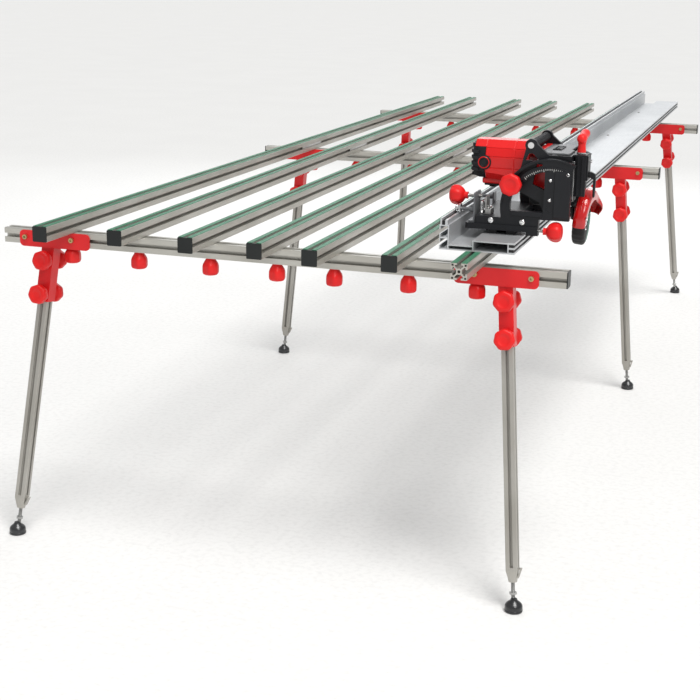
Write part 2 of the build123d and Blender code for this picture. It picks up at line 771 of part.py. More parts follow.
def make_head():
    """Two cheeks between the quadrants, joined by the slideway plate and the handle."""
    stud_x = band_middle * math.cos(math.radians(stud_angle))
    stud_z = band_middle * math.sin(math.radians(stud_angle))
    boss_x = handle_x - pivot_x
    boss_z = handle_z - pivot_z
    outline = [(-16, -18), (18, -18), (slideway_right - pivot_x, 8), (slideway_right - pivot_x, head_top - pivot_z),
               (-12, head_top - pivot_z), (boss_x + 9, boss_z + 8), (boss_x - 9, boss_z + 8),
               (boss_x - 24, 92), (stud_x - 9, stud_z + 11), (stud_x - 9, stud_z - 10), (-30, 12)]
    window = [(-48, 55), (10, 30), (18, 104), (-40, 104)]
    peek = [(boss_x - 5, boss_z - 20), (boss_x + 5, boss_z - 20), (boss_x + 22, 112), (boss_x - 14, 112)]
    cheek = Polygon(*outline, align=None) - Polygon(*window, align=None) - Polygon(*peek, align=None)
    cheek += Pos(boss_x, boss_z) * Circle(handle_radius + 5)
    cheek += Circle(pivot_boss_radius)
    cheek -= Pos(boss_x, boss_z) * Circle(4.0 + fit_gap)
    cheek -= Pos(stud_x, stud_z) * Circle(stud_radius + fit_gap)
    depth = carriage_end_bar + head_gap
    frame = None
    for end in (0, 1):
        plate = on_end(cheek, end, depth, depth + cheek_thickness)
        plate += on_end(Circle(pivot_radius), end, 4, depth + 1)
        plate += on_end(Circle(pivot_boss_radius), end, depth - 3, depth)
        frame = plate if frame is None else frame + plate
    y0 = cheek_front
    y1 = 2 * saw_y - cheek_front
    slideway = block(slideway_left, slideway_right, y0, y1, slideway_bottom, head_top)
    slot_low = nut_z - nut_height / 2 - plunge_down - 3
    slot_high = nut_z + nut_height / 2 + plunge_up + 3
    slideway -= block(slideway_left - 1, slideway_right + 1, column_y - nut_side / 2 - 1,
                      column_y + nut_side / 2 + 1, slot_low, slot_high)
    frame += slideway
    front = column_y - column_half_depth
    back = column_y + column_half_depth
    frame += block(slideway_right - 1, column_right, back - column_wall, back, column_bottom, head_top)
    frame += block(column_right - column_wall, column_right, front, back, column_bottom, head_top)
    frame += block(slideway_right - 1, column_right, front, back, head_top - 5, head_top)
    frame -= rod((screw_x, column_y, head_top - 6), (screw_x, column_y, head_top + 1), screw_radius + fit_gap)
    frame -= rod((column_right - 8, column_y, lever_z), (column_right + 1, column_y, lever_z), 3.0 + fit_gap)
    nodes["head_frame"] = [frame]


def make_head_trim():
    y0 = cheek_front + cheek_thickness
    y1 = 2 * saw_y - y0
    tube = rod((handle_x, y0, handle_z), (handle_x, y1, handle_z), handle_radius)
    tube -= rod((handle_x, y0 - 1, handle_z), (handle_x, y0 + 22, handle_z), 4.0)
    tube -= rod((handle_x, y1 + 1, handle_z), (handle_x, y1 - 22, handle_z), 4.0)
    nodes["carry_handle"] = [tube]
    cover = block(cover_left, cover_right, y0, y1, head_top, head_top + cover_thickness)
    cover = fillet(cover.edges().filter_by(Axis.Z), 6)
    cover -= block(693, 707, saw_y - 26, saw_y + 26, head_top - 1, head_top + cover_thickness + 1)
    cover -= rod((690, saw_y, switch_pivot_z), (710, saw_y, switch_pivot_z), switch_pin_radius + fit_gap)
    nodes["top_cover"] = [cover]
    screws = []
    for end in (0, 1):
        face, inward = at_saw_end(end)
        depth = carriage_end_bar + head_gap
        y = face + inward * (depth - 5)
        bolt = rod((handle_x, y, handle_z), (handle_x, y + inward * 5, handle_z), 7.5)
        bolt += rod((handle_x, y, handle_z), (handle_x, y + inward * (5 + cheek_thickness + 20), handle_z), 4.0)
        screws.append(bolt)
    thumb = rod((column_right, column_y, thumb_z), (column_right + 5, column_y, thumb_z), 2.0)
    thumb += rod((column_right + 5, column_y, thumb_z), (column_right + 10, column_y, thumb_z), 4.5)
    screws.append(thumb)
    nodes["head_screws"] = screws


def make_bevel_knob():
    stud_x = pivot_x + band_middle * math.cos(math.radians(stud_angle))
    stud_z = pivot_z + band_middle * math.sin(math.radians(stud_angle))
    reach = carriage_end_bar + head_gap + cheek_thickness - 2
    knob = knob_with_shaft(bevel_knob_radius, bevel_knob_head, 8, reach, stud_radius, 6)
    nodes["bevel_lock_knob"] = [Pos(stud_x, saw_front + 3 - running_gap, stud_z) * Rot(90, 0, 0) * knob]


def make_plunge_drive():
    x, y = screw_x, column_y
    screw = rod((x, y, column_bottom - 3), (x, y, head_top + 26), screw_radius)
    screw += rod((x, y, head_top + running_gap), (x, y, head_top + 4), 10.0)
    screw += rod((x, y, head_top - 9), (x, y, head_top - 5 - running_gap), 8.0)
    nodes["plunge_screw"] = [screw]
    hub_low = head_top + 4
    hub = rod((x, y, hub_low), (x, y, crank_bar_z), crank_hub_radius, crank_hub_radius + 2)
    bar = rod((x, y - crank_bar_front, crank_bar_z), (x, y + crank_bar_back, crank_bar_z + crank_bar_rise),
              crank_bar_radius)
    bar = fillet(bar.edges().filter_by(GeomType.CIRCLE), crank_bar_radius * 0.7)
    crank = hub + bar
    crank -= rod((x, y, hub_low - 1), (x, y, head_top + 26.2), screw_radius + fit_gap)
    nodes["plunge_crank"] = [crank]
    nut = block(gear_case_right, x + nut_side / 2 - 3, y - nut_side / 2, y + nut_side / 2,
                nut_z - nut_height / 2, nut_z + nut_height / 2)
    nut -= rod((x, y, nut_z - nut_height), (x, y, nut_z + nut_height), screw_radius + fit_gap)
    nodes["plunge_nut"] = [nut]
    pin_x = column_right
    lever = rod((pin_x - 7, y, lever_z), (pin_x + 8, y, lever_z), 3.0)
    lever += block(pin_x + 1, pin_x + 17, y - 6, y + 6, lever_z - 6, lever_z + 6)
    lever += block(pin_x + 11, pin_x + 17, y - 6, y + 6, lever_z - 54, lever_z - 2)
    lever = fillet(lever.edges().filter_by(Axis.Y), 1.5)
    nodes["plunge_lock_lever"] = [lever]
    rocker = block(694, 706, saw_y - 25, saw_y + 25, head_top - 2, head_top + cover_thickness + 2)
    rocker = fillet(rocker.edges().filter_by(Axis.X), 1.5)
    nodes["power_switch"] = [rocker + rod((690.5, saw_y, switch_pivot_z), (709.5, saw_y, switch_pivot_z),
                                          switch_pin_radius)]


# ---------------------------------------------------------------- motor, gear case, blade
def motor_outline(inset):
    half = motor_half - inset
    top = motor_top - inset
    right = [(-34 + inset, -top + 1), (34 - inset, -top + 1), (half, -30), (half, 10), (half - 6, 31), (22, top)]
    return Polygon(*(right + [(-22, top), (-half + 6, 31), (-half, 10), (-half, -30)]), align=None)


def along_motor(sketch, x0, x1):
    """A sketch in y and z about the motor's axis, drawn out along +X."""
    return Plane(origin=(x0, saw_y, motor_z), x_dir=(0, 1, 0), z_dir=(1, 0, 0)) * extrude(sketch, x1 - x0)


def make_motor():
    wall = 4.0
    housing = along_motor(motor_outline(0), motor_left, motor_right)
    housing -= along_motor(motor_outline(wall), motor_left - 1, motor_right - wall)
    housing -= rod((motor_right - wall - 1, saw_y, motor_z), (motor_right + 1, saw_y, motor_z), 16)
    for side in (-1, 1):
        y0 = saw_y + side * (motor_half + 1)
        y1 = saw_y + side * (motor_half - wall - 1)
        housing -= rod((brush_x + 8, y0, motor_z - 6), (brush_x + 8, y1, motor_z - 6), brush_radius - 3)
    boss = block(motor_left, motor_left + 46, saw_y - 22, saw_y + 22, motor_z - motor_top - 4, motor_z - motor_top + 3)
    nodes["motor_housing"] = [housing + boss]
    cap = along_motor(motor_outline(1.5), motor_left - motor_cap_length, motor_left)
    cap -= along_motor(motor_outline(5), motor_left - motor_cap_length + 4, motor_left + 1)
    for height in (-24, -12, 0, 12, 24):
        slot = block(motor_left - motor_cap_length - 1, motor_left - motor_cap_length + 5,
                     saw_y - 26, saw_y + 26, motor_z + height - 2.2, motor_z + height + 2.2)
        cap -= slot
    nodes["motor_end_cap"] = [cap]
    caps = []
    for side in (-1, 1):
        inner = saw_y + side * (motor_half - wall)
        face = saw_y + side * motor_half
        plug = rod((brush_x + 8, inner, motor_z - 6), (brush_x + 8, face, motor_z - 6), brush_radius - 3 - fit_gap)
        plug += rod((brush_x + 8, face, motor_z - 6), (brush_x + 8, face + side * 3, motor_z - 6), brush_radius)
        caps.append(plug)
    nodes["brush_caps"] = caps
    bottom = motor_z - motor_top - 4
    gland = rod((motor_left + 23, saw_y, bottom - 6), (motor_left + 23, saw_y, bottom), 14)
    gland += rod((motor_left + 23, saw_y, bottom - 18), (motor_left + 23, saw_y, bottom - 6), 8, 11)
    gland -= rod((motor_left + 23, saw_y, bottom - 19), (motor_left + 23, saw_y, bottom - 2), 4.5)
    nodes["cable_gland"] = [gland]


def make_gear_case():
    case = rounded_block(gear_case_left, gear_case_right, saw_y - gear_case_half, saw_y + gear_case_half,
                         gear_case_bottom, gear_case_top, 10, Axis.X)
    case += rod((motor_right, saw_y, motor_z - 36), (gear_case_left + 1, saw_y, motor_z - 36), 40)
    neck_bottom = blade_z - neck_half + 4
    case += block(neck_left, gear_case_right + 6, saw_y - neck_half, saw_y + neck_half, blade_z, gear_case_bottom + 1)
    case += rod((neck_left, saw_y, blade_z), (gear_case_right + 6, saw_y, blade_z), blade_z - neck_bottom)
    case -= rod((neck_left + 8, saw_y, blade_z), (gear_case_right + 7, saw_y, blade_z), arbor_radius + fit_gap)
    case -= block(gear_case_right, gear_case_right + 7, saw_y - neck_half - 1, saw_y + neck_half + 1,
                  gear_case_bottom - 2, gear_case_bottom + 2)
    nodes["gear_case"] = [case]


def make_blade():
    half = blade_thickness / 2
    blade = rod((blade_x - half, saw_y, blade_z), (blade_x + half, saw_y, blade_z), blade_radius)
    blade -= rod((blade_x - 5, saw_y, blade_z), (blade_x + 5, saw_y, blade_z), blade_bore)
    for index in range(12):
        angle = 2 * math.pi * index / 12
        y = saw_y + (blade_radius - 3) * math.cos(angle)
        z = blade_z + (blade_radius - 3) * math.sin(angle)
        blade -= Pos(blade_x, y, z) * Rot(index * 30, 0, 0) * Box(6, 8, 1.6)
    nodes["saw_blade"] = [blade]
    arbor = rod((neck_left + 10, saw_y, blade_z), (guard_left + 4, saw_y, blade_z), arbor_radius)
    arbor += rod((guard_left + 4, saw_y, blade_z), (blade_x - half, saw_y, blade_z), flange_radius)
    arbor += rod((blade_x - half, saw_y, blade_z), (blade_x + half, saw_y, blade_z), blade_bore - fit_gap)
    arbor += rod((blade_x + half, saw_y, blade_z), (blade_x + half + 3, saw_y, blade_z), flange_radius)
    nut = Plane(origin=(blade_x + half + 3, saw_y, blade_z), x_dir=(0, 1, 0), z_dir=(1, 0, 0))
    arbor += nut * extrude(RegularPolygon(11, 6), 6)
    nodes["blade_arbor"] = [arbor]


def make_guard():
    """A drum open at the bottom, with a hooded outlet on its outer face."""
    x0, x1 = guard_left, guard_left + guard_width
    guard = rod((x0, saw_y, blade_z), (x1, saw_y, blade_z), guard_radius)
    guard -= rod((x0 + guard_wall, saw_y, blade_z), (x1 - guard_wall, saw_y, blade_z), guard_radius - guard_wall)
    guard -= rod((x1 - guard_wall - 1, saw_y, blade_z - 22), (x1 + 1, saw_y, blade_z - 22), 48)
    guard -= block(x0 - 1, x1 + 1, saw_y - 90, saw_y + 90, blade_z - 90, blade_z - 18)
    guard -= rod((x0 - 1, saw_y, blade_z), (x0 + 5, saw_y, blade_z), arbor_radius + 1)
    spout = rod((x1 - guard_wall, saw_y + 34, blade_z + 38), (x1 + 22, saw_y + 52, blade_z + 8), 19, 23)
    bore = rod((x1 - guard_wall - 1, saw_y + 34, blade_z + 39), (x1 + 24, saw_y + 53, blade_z + 6), 16, 20)
    spout -= block(x0 - 30, x1 - guard_wall, saw_y - 90, saw_y + 90, blade_z - 90, blade_z + 90)
    guard = guard + spout - bore
    nodes["blade_guard"] = [guard]
    collar = rod((gear_case_right + 6, saw_y, blade_z), (x0, saw_y, blade_z), 20)
    collar -= rod((gear_case_right + 5, saw_y, blade_z), (x0 + 1, saw_y, blade_z), arbor_radius + 1)
    skirt_outer = guard_radius - guard_wall - fit_gap
    skirt = rod((x0 + 3, saw_y, blade_z), (x1 - 3, saw_y, blade_z), skirt_outer)
    skirt -= rod((x0, saw_y, blade_z), (x1, saw_y, blade_z), skirt_outer - 5)
    skirt = skirt & block(x0, x1, saw_y - 90, saw_y - 20, blade_z - 66, blade_z - 2)
    nodes["guard_skirt"] = [skirt]
    return collar


# ---------------------------------------------------------------- build and write
make_slats()
make_grip_strips()
make_joiner_plates()
make_beams()
make_end_caps()
nodes["clamp_t_bolts"] = make_slat_clamps()
make_brackets()
nodes["clamp_t_bolts"] += make_leg_clamps()
make_legs()
make_rail()
make_carriage()
make_wall_guide()
make_lock_knobs()
make_quadrants()
make_head()
make_head_trim()
make_bevel_knob()
make_plunge_drive()
make_motor()
make_gear_case()
make_blade()
nodes["gear_case"] = [nodes["gear_case"][0] + make_guard()]


def centre_of_everything():
    """The middle of the whole machine's box in x and y."""
    whole = Compound(children=[Compound(children=[s.solid() for s in solids]) for solids in nodes.values()])
    middle = whole.bounding_box().center()
    return Vector(middle.X, middle.Y, 0)


origin_shift = centre_of_everything()
os.makedirs("parts", exist_ok=True)
for name, solids in nodes.items():
    moved = [Pos(-origin_shift.X, -origin_shift.Y, 0) * s.solid() for s in solids]
    shape = moved[0] if len(moved) == 1 else Compound(children=moved)
    export_step(shape, f"parts/{name}.step")
print(len(nodes), "nodes, origin shift", round(origin_shift.X, 3), round(origin_shift.Y, 3))
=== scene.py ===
import json
import math

import bmesh
import bpy
import numpy as np
from mathutils import Matrix, Vector


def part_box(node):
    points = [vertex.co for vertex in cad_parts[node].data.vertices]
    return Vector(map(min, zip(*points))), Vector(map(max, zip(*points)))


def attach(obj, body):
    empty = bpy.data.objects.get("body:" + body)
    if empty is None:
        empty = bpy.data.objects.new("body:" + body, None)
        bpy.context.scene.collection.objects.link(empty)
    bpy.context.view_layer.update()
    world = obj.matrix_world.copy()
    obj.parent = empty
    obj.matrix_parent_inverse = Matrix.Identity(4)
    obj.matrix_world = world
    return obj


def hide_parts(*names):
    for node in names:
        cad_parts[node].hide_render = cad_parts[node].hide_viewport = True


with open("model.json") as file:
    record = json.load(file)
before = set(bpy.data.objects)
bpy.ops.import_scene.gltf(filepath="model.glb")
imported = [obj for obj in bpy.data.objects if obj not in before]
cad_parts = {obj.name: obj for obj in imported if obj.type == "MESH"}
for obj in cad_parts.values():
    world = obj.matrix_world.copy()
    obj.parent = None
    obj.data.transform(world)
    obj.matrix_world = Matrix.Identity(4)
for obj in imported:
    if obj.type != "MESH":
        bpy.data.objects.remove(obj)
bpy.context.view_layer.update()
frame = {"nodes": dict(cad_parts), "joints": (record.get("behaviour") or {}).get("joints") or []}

MM = 0.001
joints = {joint["name"]: joint for joint in frame["joints"]}

# The layout's own coordinates (mm from the middle of the table) are tied to the tilt pivot.
SAW_Y = -1722.0
PIVOT = Vector((705.0, SAW_Y, 985.0))
OFFSET = Vector(joints["bevel_tilt"]["pos_m"]) / MM - PIVOT


def at(x, y, z):
    """A point given in the layout's millimetres, in the row frame."""
    return (Vector((x, y, z)) + OFFSET) * MM


# ------------------------------------------------------------------ materials
def surface(name, color, color2=None, metallic=0.0, rough=0.5, rough_vary=0.08, grain=500.0,
            stretch=(1.0, 1.0, 1.0), bump=0.15, depth=0.0003, patch=5.0, coat=0.0, coat_rough=0.12,
            specular=0.5, wear=0.0, wear_color=(0.7, 0.7, 0.7), ribs=0.0):
    """A procedural finish: a patchy colour, a grain that is stretched along the work, and scratches."""
    material = bpy.data.materials.new(name)
    material.use_nodes = True
    tree = material.node_tree
    nodes, links = tree.nodes, tree.links
    shader = nodes["Principled BSDF"]
    shader.inputs["Metallic"].default_value = metallic
    shader.inputs["Specular IOR Level"].default_value = specular
    shader.inputs["Coat Weight"].default_value = coat
    shader.inputs["Coat Roughness"].default_value = coat_rough
    coords = nodes.new("ShaderNodeTexCoord")
    mapping = nodes.new("ShaderNodeMapping")
    mapping.inputs["Scale"].default_value = stretch
    links.new(coords.outputs["Object"], mapping.inputs["Vector"])

    def noise(scale, detail, source, roughness=0.55):
        node = nodes.new("ShaderNodeTexNoise")
        node.inputs["Scale"].default_value = scale
        node.inputs["Detail"].default_value = detail
        node.inputs["Roughness"].default_value = roughness
        links.new(source, node.inputs["Vector"])
        return node.outputs["Fac"]

    def remap(source, low, high, out_low, out_high):
        node = nodes.new("ShaderNodeMapRange")
        node.inputs["From Min"].default_value = low
        node.inputs["From Max"].default_value = high
        node.inputs["To Min"].default_value = out_low
        node.inputs["To Max"].default_value = out_high
        links.new(source, node.inputs["Value"])
        return node.outputs["Result"]

    def mix(factor, first, second):
        node = nodes.new("ShaderNodeMix")
        node.data_type = "RGBA"
        links.new(factor, node.inputs[0])
        for socket, value in ((node.inputs[6], first), (node.inputs[7], second)):
            if isinstance(value, tuple):
                socket.default_value = (*value, 1.0)
            else:
                links.new(value, socket)
        return node.outputs[2]

    fine = noise(grain, 4.0, mapping.outputs["Vector"])
    broad = noise(patch, 3.0, coords.outputs["Object"])
    if color2 is None:
        color2 = tuple(channel * 0.86 for channel in color)
    tone = mix(remap(broad, 0.35, 0.65, 0.0, 1.0), tuple(color), tuple(color2))
    darker = tuple(channel * 0.8 for channel in color)
    tone = mix(remap(fine, 0.45, 0.75, 0.0, 0.45), tone, darker)
    if wear > 0.0:
        scratch = noise(grain * 0.17, 6.0, mapping.outputs["Vector"], 0.75)
        tone = mix(remap(scratch, 0.63, 0.74, 0.0, wear), tone, tuple(wear_color))
    links.new(tone, shader.inputs["Base Color"])
    links.new(remap(fine, 0.3, 0.7, rough - rough_vary, rough + rough_vary), shader.inputs["Roughness"])
    height = fine
    if ribs > 0.0:
        wave = nodes.new("ShaderNodeTexWave")
        wave.bands_direction = "X"
        wave.inputs["Scale"].default_value = ribs
        wave.inputs["Distortion"].default_value = 0.0
        links.new(coords.outputs["Object"], wave.inputs["Vector"])
        add = nodes.new("ShaderNodeMath")
        add.operation = "ADD"
        links.new(fine, add.inputs[0])
        links.new(wave.outputs["Fac"], add.inputs[1])
        height = add.outputs[0]
    bumped = nodes.new("ShaderNodeBump")
    bumped.inputs["Strength"].default_value = bump
    bumped.inputs["Distance"].default_value = depth
    links.new(height, bumped.inputs["Height"])
    links.new(bumped.outputs["Normal"], shader.inputs["Normal"])
    return material


ALONG_X = (0.02, 1.0, 1.0)
ALONG_Y = (1.0, 0.02, 1.0)
ALONG_Z = (1.0, 1.0, 0.03)
ANODISED = dict(metallic=0.6, rough=0.4, grain=900.0, bump=0.12, depth=0.0002, wear=0.25,
                wear_color=(0.70, 0.69, 0.66))
mats = {
    "slat": surface("slat_anodised", (0.50, 0.485, 0.445), color2=(0.40, 0.385, 0.345), stretch=ALONG_Y,
                    **ANODISED),
    "beam": surface("beam_anodised", (0.54, 0.53, 0.49), color2=(0.44, 0.425, 0.385), stretch=ALONG_X,
                    **ANODISED),
    "leg": surface("leg_anodised", (0.46, 0.445, 0.41), color2=(0.37, 0.355, 0.32), stretch=ALONG_Z,
                   **ANODISED),
    "rail": surface("rail_anodised", (0.58, 0.595, 0.61), color2=(0.49, 0.505, 0.52), metallic=0.5,
                    rough=0.36, grain=900.0, stretch=ALONG_Y, bump=0.1, depth=0.0002, wear=0.2,
                    wear_color=(0.74, 0.75, 0.76)),
    "strip": surface("grip_strip", (0.022, 0.15, 0.075), color2=(0.05, 0.21, 0.12), rough=0.5, grain=260.0,
                     stretch=(1.0, 0.15, 1.0), patch=9.0, bump=0.3, depth=0.0004, coat=0.05, specular=0.3,
                     ribs=180.0),
    "cap": surface("cap_plastic", (0.008, 0.010, 0.010), color2=(0.014, 0.016, 0.016), rough=0.42,
                   grain=1300.0, bump=0.25, depth=0.0003, specular=0.35),
    "steel": surface("plated_steel", (0.52, 0.52, 0.51), metallic=0.95, rough=0.28, grain=1200.0, bump=0.1,
                     wear=0.3, wear_color=(0.32, 0.31, 0.29)),
    "stem": surface("stem_steel", (0.46, 0.46, 0.45), metallic=0.95, rough=0.3, grain=900.0, bump=0.12,
                    wear=0.3, wear_color=(0.25, 0.24, 0.22)),
    "knob": surface("knob_red", (0.78, 0.014, 0.013), color2=(0.66, 0.009, 0.010), rough=0.42, grain=1400.0,
                    bump=0.2, depth=0.0002, coat=0.08, specular=0.3, wear=0.1, wear_color=(0.85, 0.07, 0.05)),
    "bracket": surface("bracket_red", (0.74, 0.013, 0.016), color2=(0.64, 0.009, 0.012), rough=0.38,
                       grain=1100.0, bump=0.25, depth=0.0003, coat=0.15, specular=0.3, wear=0.14,
                       wear_color=(0.82, 0.08, 0.06)),
    "zinc": surface("yellow_zinc", (0.56, 0.43, 0.19), color2=(0.42, 0.34, 0.2), metallic=0.9, rough=0.32,
                    grain=1500.0, patch=60.0, bump=0.12),
    "rubber": surface("black_rubber", (0.008, 0.008, 0.008), color2=(0.014, 0.014, 0.014), rough=0.6,
                      grain=900.0, bump=0.3, depth=0.0004, specular=0.3, wear=0.15,
                      wear_color=(0.04, 0.038, 0.036)),
    "pad": surface("pad_black", (0.03, 0.031, 0.033), color2=(0.05, 0.052, 0.055), metallic=0.55,
                   rough=0.3, grain=700.0, bump=0.2, depth=0.0003, coat=0.4, wear=0.2,
                   wear_color=(0.14, 0.14, 0.14)),
    "cast": surface("cast_black", (0.006, 0.0065, 0.0085), color2=(0.010, 0.011, 0.014), rough=0.4,
                    grain=1100.0, bump=0.35, depth=0.0004, specular=0.3, wear=0.25,
                    wear_color=(0.035, 0.036, 0.042)),
    "chrome": surface("bright_chrome", (0.82, 0.82, 0.82), metallic=1.0, rough=0.12, rough_vary=0.04,
                      grain=700.0, bump=0.03, patch=40.0),
    "silver": surface("silver_plate", (0.42, 0.42, 0.41), metallic=0.85, rough=0.34, grain=1300.0, bump=0.12,
                      wear=0.25, wear_color=(0.6, 0.6, 0.6)),
    "cover": surface("cover_grey", (0.115, 0.12, 0.128), color2=(0.15, 0.155, 0.165), metallic=0.3,
                     rough=0.42, grain=1500.0, bump=0.2, wear=0.25, wear_color=(0.3, 0.3, 0.31)),
    "saw_red": surface("saw_red", (0.74, 0.010, 0.010), color2=(0.66, 0.008, 0.008), rough=0.3, grain=1500.0,
                       bump=0.1, depth=0.0002, coat=0.3, coat_rough=0.2, specular=0.3, wear=0.06,
                       wear_color=(0.85, 0.1, 0.07)),
    # The guard's red is the saw red painted darker: painted shade over the guard, under a glossy coat
    "guard_red_painted_shade": surface("guard_red_painted_shade", (0.52, 0.006, 0.006), color2=(0.43, 0.005, 0.005), rough=0.18,
                         rough_vary=0.05, grain=900.0, bump=0.06, depth=0.0002, coat=0.7,
                         coat_rough=0.08, specular=0.35),
    "saw_black": surface("saw_black", (0.006, 0.0063, 0.0075), color2=(0.010, 0.0105, 0.0125), rough=0.45,
                         grain=1500.0, bump=0.3, depth=0.0003, specular=0.3, wear=0.12,
                         wear_color=(0.03, 0.03, 0.034)),
    "blade": surface("ground_blade", (0.03, 0.15, 0.10), color2=(0.05, 0.19, 0.14), metallic=0.45, rough=0.34,
                     grain=800.0, bump=0.15, wear=0.25, wear_color=(0.2, 0.3, 0.26)),
    "tick": surface("tick_white", (0.74, 0.74, 0.72), rough=0.5, grain=900.0, bump=0.1),
    "floor": surface("pale_floor", (0.80, 0.80, 0.795), color2=(0.785, 0.785, 0.78), rough=0.75, grain=60.0,
                     bump=0.03, patch=1.5, specular=0.2),
}

LEG_NAMES = ["near_left", "near_right", "middle_left", "middle_right", "far_left", "far_right"]
NODE_FINISH = {
    "beam": ["front_cross_beam", "middle_cross_beam", "far_cross_beam"],
    "slat": [f"slat_{number}" for number in range(1, 8)],
    "leg": [f"leg_{name}" for name in LEG_NAMES],
    "strip": ["slat_grip_strips"],
    "cap": ["profile_end_caps"],
    "steel": ["joiner_plates", "clamp_t_bolts", "plunge_screw", "plunge_nut"],
    "knob": ["slat_clamp_knobs", "leg_clamp_knobs", "wall_lock_knob", "edge_lock_knob", "bevel_lock_knob",
             "plunge_crank"],
    "bracket": ["leg_brackets"],
    "zinc": ["bracket_bolts"],
    "rail": ["guide_rail"],
    "rubber": ["rail_rubber_strips", "guard_skirt"] + [f"foot_{name}" for name in LEG_NAMES],
    "cast": ["carriage_base", "bevel_quadrants", "head_frame", "carry_handle"],
    "chrome": ["carriage_bolts", "front_wall_roller", "rear_wall_roller", "head_screws", "blade_arbor"],
    "cover": ["top_cover", "wall_guide_bracket"],
    "saw_red": ["motor_housing", "gear_case", "blade_guard"],
    "saw_black": ["motor_end_cap", "brush_caps", "cable_gland", "power_switch", "plunge_lock_lever",
                  "glide_pads"],
    "blade": ["saw_blade"],
}
for finish, names in NODE_FINISH.items():
    for name in names:
        data = frame["nodes"][name].data
        data.materials.clear()
        data.materials.append(mats[finish])


# ------------------------------------------------------------------ mesh building
class Shape:
    """Collects vertices and faces, in metres, for one piece."""

    def __init__(self):
        self.verts = []
        self.faces = []

    def add(self, verts, faces, matrix=None):
        start = len(self.verts)
        for vert in verts:
            vert = Vector(vert)
            self.verts.append(matrix @ vert if matrix is not None else vert)
        self.faces += [tuple(start + index for index in face) for face in faces]

    def grid(self, rings, cap_start=True, cap_end=True, matrix=None):
        """Skins a list of rings, which all have the same number of points."""
        count = len(rings[0])
        verts = [point for ring in rings for point in ring]
        faces = []
        for row in range(len(rings) - 1):
            for index in range(count):
                after = (index + 1) % count
                faces.append((row * count + index, row * count + after, (row + 1) * count + after,
                              (row + 1) * count + index))
        if cap_start:
            faces.append(tuple(reversed(range(count))))
        if cap_end:
            faces.append(tuple(range((len(rings) - 1) * count, len(rings) * count)))
        self.add(verts, faces, matrix)

    def lathe(self, profile, matrix, segments=40, lobes=0):
        """Turns (radius, height, lobe depth) about the local Z axis."""
        rings = []
        for entry in profile:
            radius, height = entry[0], entry[1]
            depth = entry[2] if len(entry) > 2 else 0.0
            ring = []
            for step in range(segments):
                angle = 2 * math.pi * step / segments
                wave = 1.0 - depth * (0.5 - 0.5 * math.cos(lobes * angle)) if lobes else 1.0
                reach = radius * wave * MM
                ring.append((reach * math.cos(angle), reach * math.sin(angle), height * MM))
            rings.append(ring)
        self.grid(rings, matrix=matrix)

    def prism(self, outline, low, high, matrix):
        """A flat outline in local X and Y, drawn out from low to high along local Z."""
        rings = [[(x * MM, y * MM, z * MM) for x, y in outline] for z in (low, high)]
        self.grid(rings, matrix=matrix)

    def block(self, x0, x1, y0, y1, z0, z1):
        """A block between two planes in each direction, in layout millimetres."""
        ring = [(x0, y0), (x1, y0), (x1, y1), (x0, y1)]
        self.grid([[at(x, y, z) for x, y in ring] for z in (z0, z1)])

    def tube(self, points, radius, sides=12):
        """A round bar through points given in metres."""
        rings = []
        points = [Vector(point) for point in points]
        normal = None
        for index, point in enumerate(points):
            ahead = points[min(index + 1, len(points) - 1)] - points[max(index - 1, 0)]
            ahead.normalize()
            if normal is None:
                normal = ahead.orthogonal().normalized()
            normal = (normal - ahead * normal.dot(ahead)).normalized()
            side = ahead.cross(normal)
            rings.append([point + (normal * math.cos(2 * math.pi * k / sides)
                                   + side * math.sin(2 * math.pi * k / sides)) * radius * MM
                          for k in range(sides)])
        self.grid(rings)

    def piece(self, name, body, material, slot, bevel=0.0, segments=2, smooth=True, replaces=(), angle=32.0):
        """Makes the Blender object, rounds its edges by bevel mm, and ties it to its body; the slot argument
        is not used.
        """
        mesh = bpy.data.meshes.new(name)
        mesh.from_pydata([tuple(vert) for vert in self.verts], [], self.faces)
        work = bmesh.new()
        work.from_mesh(mesh)
        bmesh.ops.recalc_face_normals(work, faces=work.faces[:])
        work.to_mesh(mesh)
        work.free()
        mesh.update()
        piece = bpy.data.objects.new(name, mesh)
        bpy.context.scene.collection.objects.link(piece)
        mesh.materials.append(mats[material])
        if bevel > 0.0:
            modifier = piece.modifiers.new("edges", "BEVEL")
            modifier.width = bevel * MM
            modifier.segments = segments
            modifier.limit_method = "ANGLE"
            modifier.angle_limit = math.radians(angle)
            modifier.harden_normals = True
        if smooth:
            for face in mesh.polygons:
                face.use_smooth = True
            if bevel <= 0.0:
                mesh.set_sharp_from_angle(angle=math.radians(angle + 8.0))
        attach(piece, body)
        if replaces:
            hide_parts(*replaces)
        return piece


def frame_at(origin, z_axis, x_axis=None):
    """A placement whose Z runs along z_axis."""
    z_axis = Vector(z_axis).normalized()
    x_axis = Vector(x_axis) if x_axis is not None else z_axis.orthogonal()
    x_axis = (x_axis - z_axis * x_axis.dot(z_axis)).normalized()
    y_axis = z_axis.cross(x_axis)
    matrix = Matrix((x_axis, y_axis, z_axis)).transposed().to_4x4()
    matrix.translation = Vector(origin)
    return matrix


def islands(node):
    """The separate solids of a CAD node, as arrays of points."""
    data = frame["nodes"][node].data
    count = len(data.vertices)
    co = np.empty(count * 3)
    data.vertices.foreach_get("co", co)
    co = co.reshape(-1, 3)
    keys = {}
    alias = np.empty(count, int)
    for index, point in enumerate(np.round(co, 6)):
        alias[index] = keys.setdefault(tuple(point), len(keys))
    parent = list(range(len(keys)))

    def find(item):
        while parent[item] != item:
            parent[item] = parent[parent[item]]
            item = parent[item]
        return item

    for edge in data.edges:
        a, b = find(alias[edge.vertices[0]]), find(alias[edge.vertices[1]])
        if a != b:
            parent[a] = b
    groups = {}
    for index in range(count):
        groups.setdefault(find(alias[index]), []).append(index)
    return [co[members] for members in groups.values()]


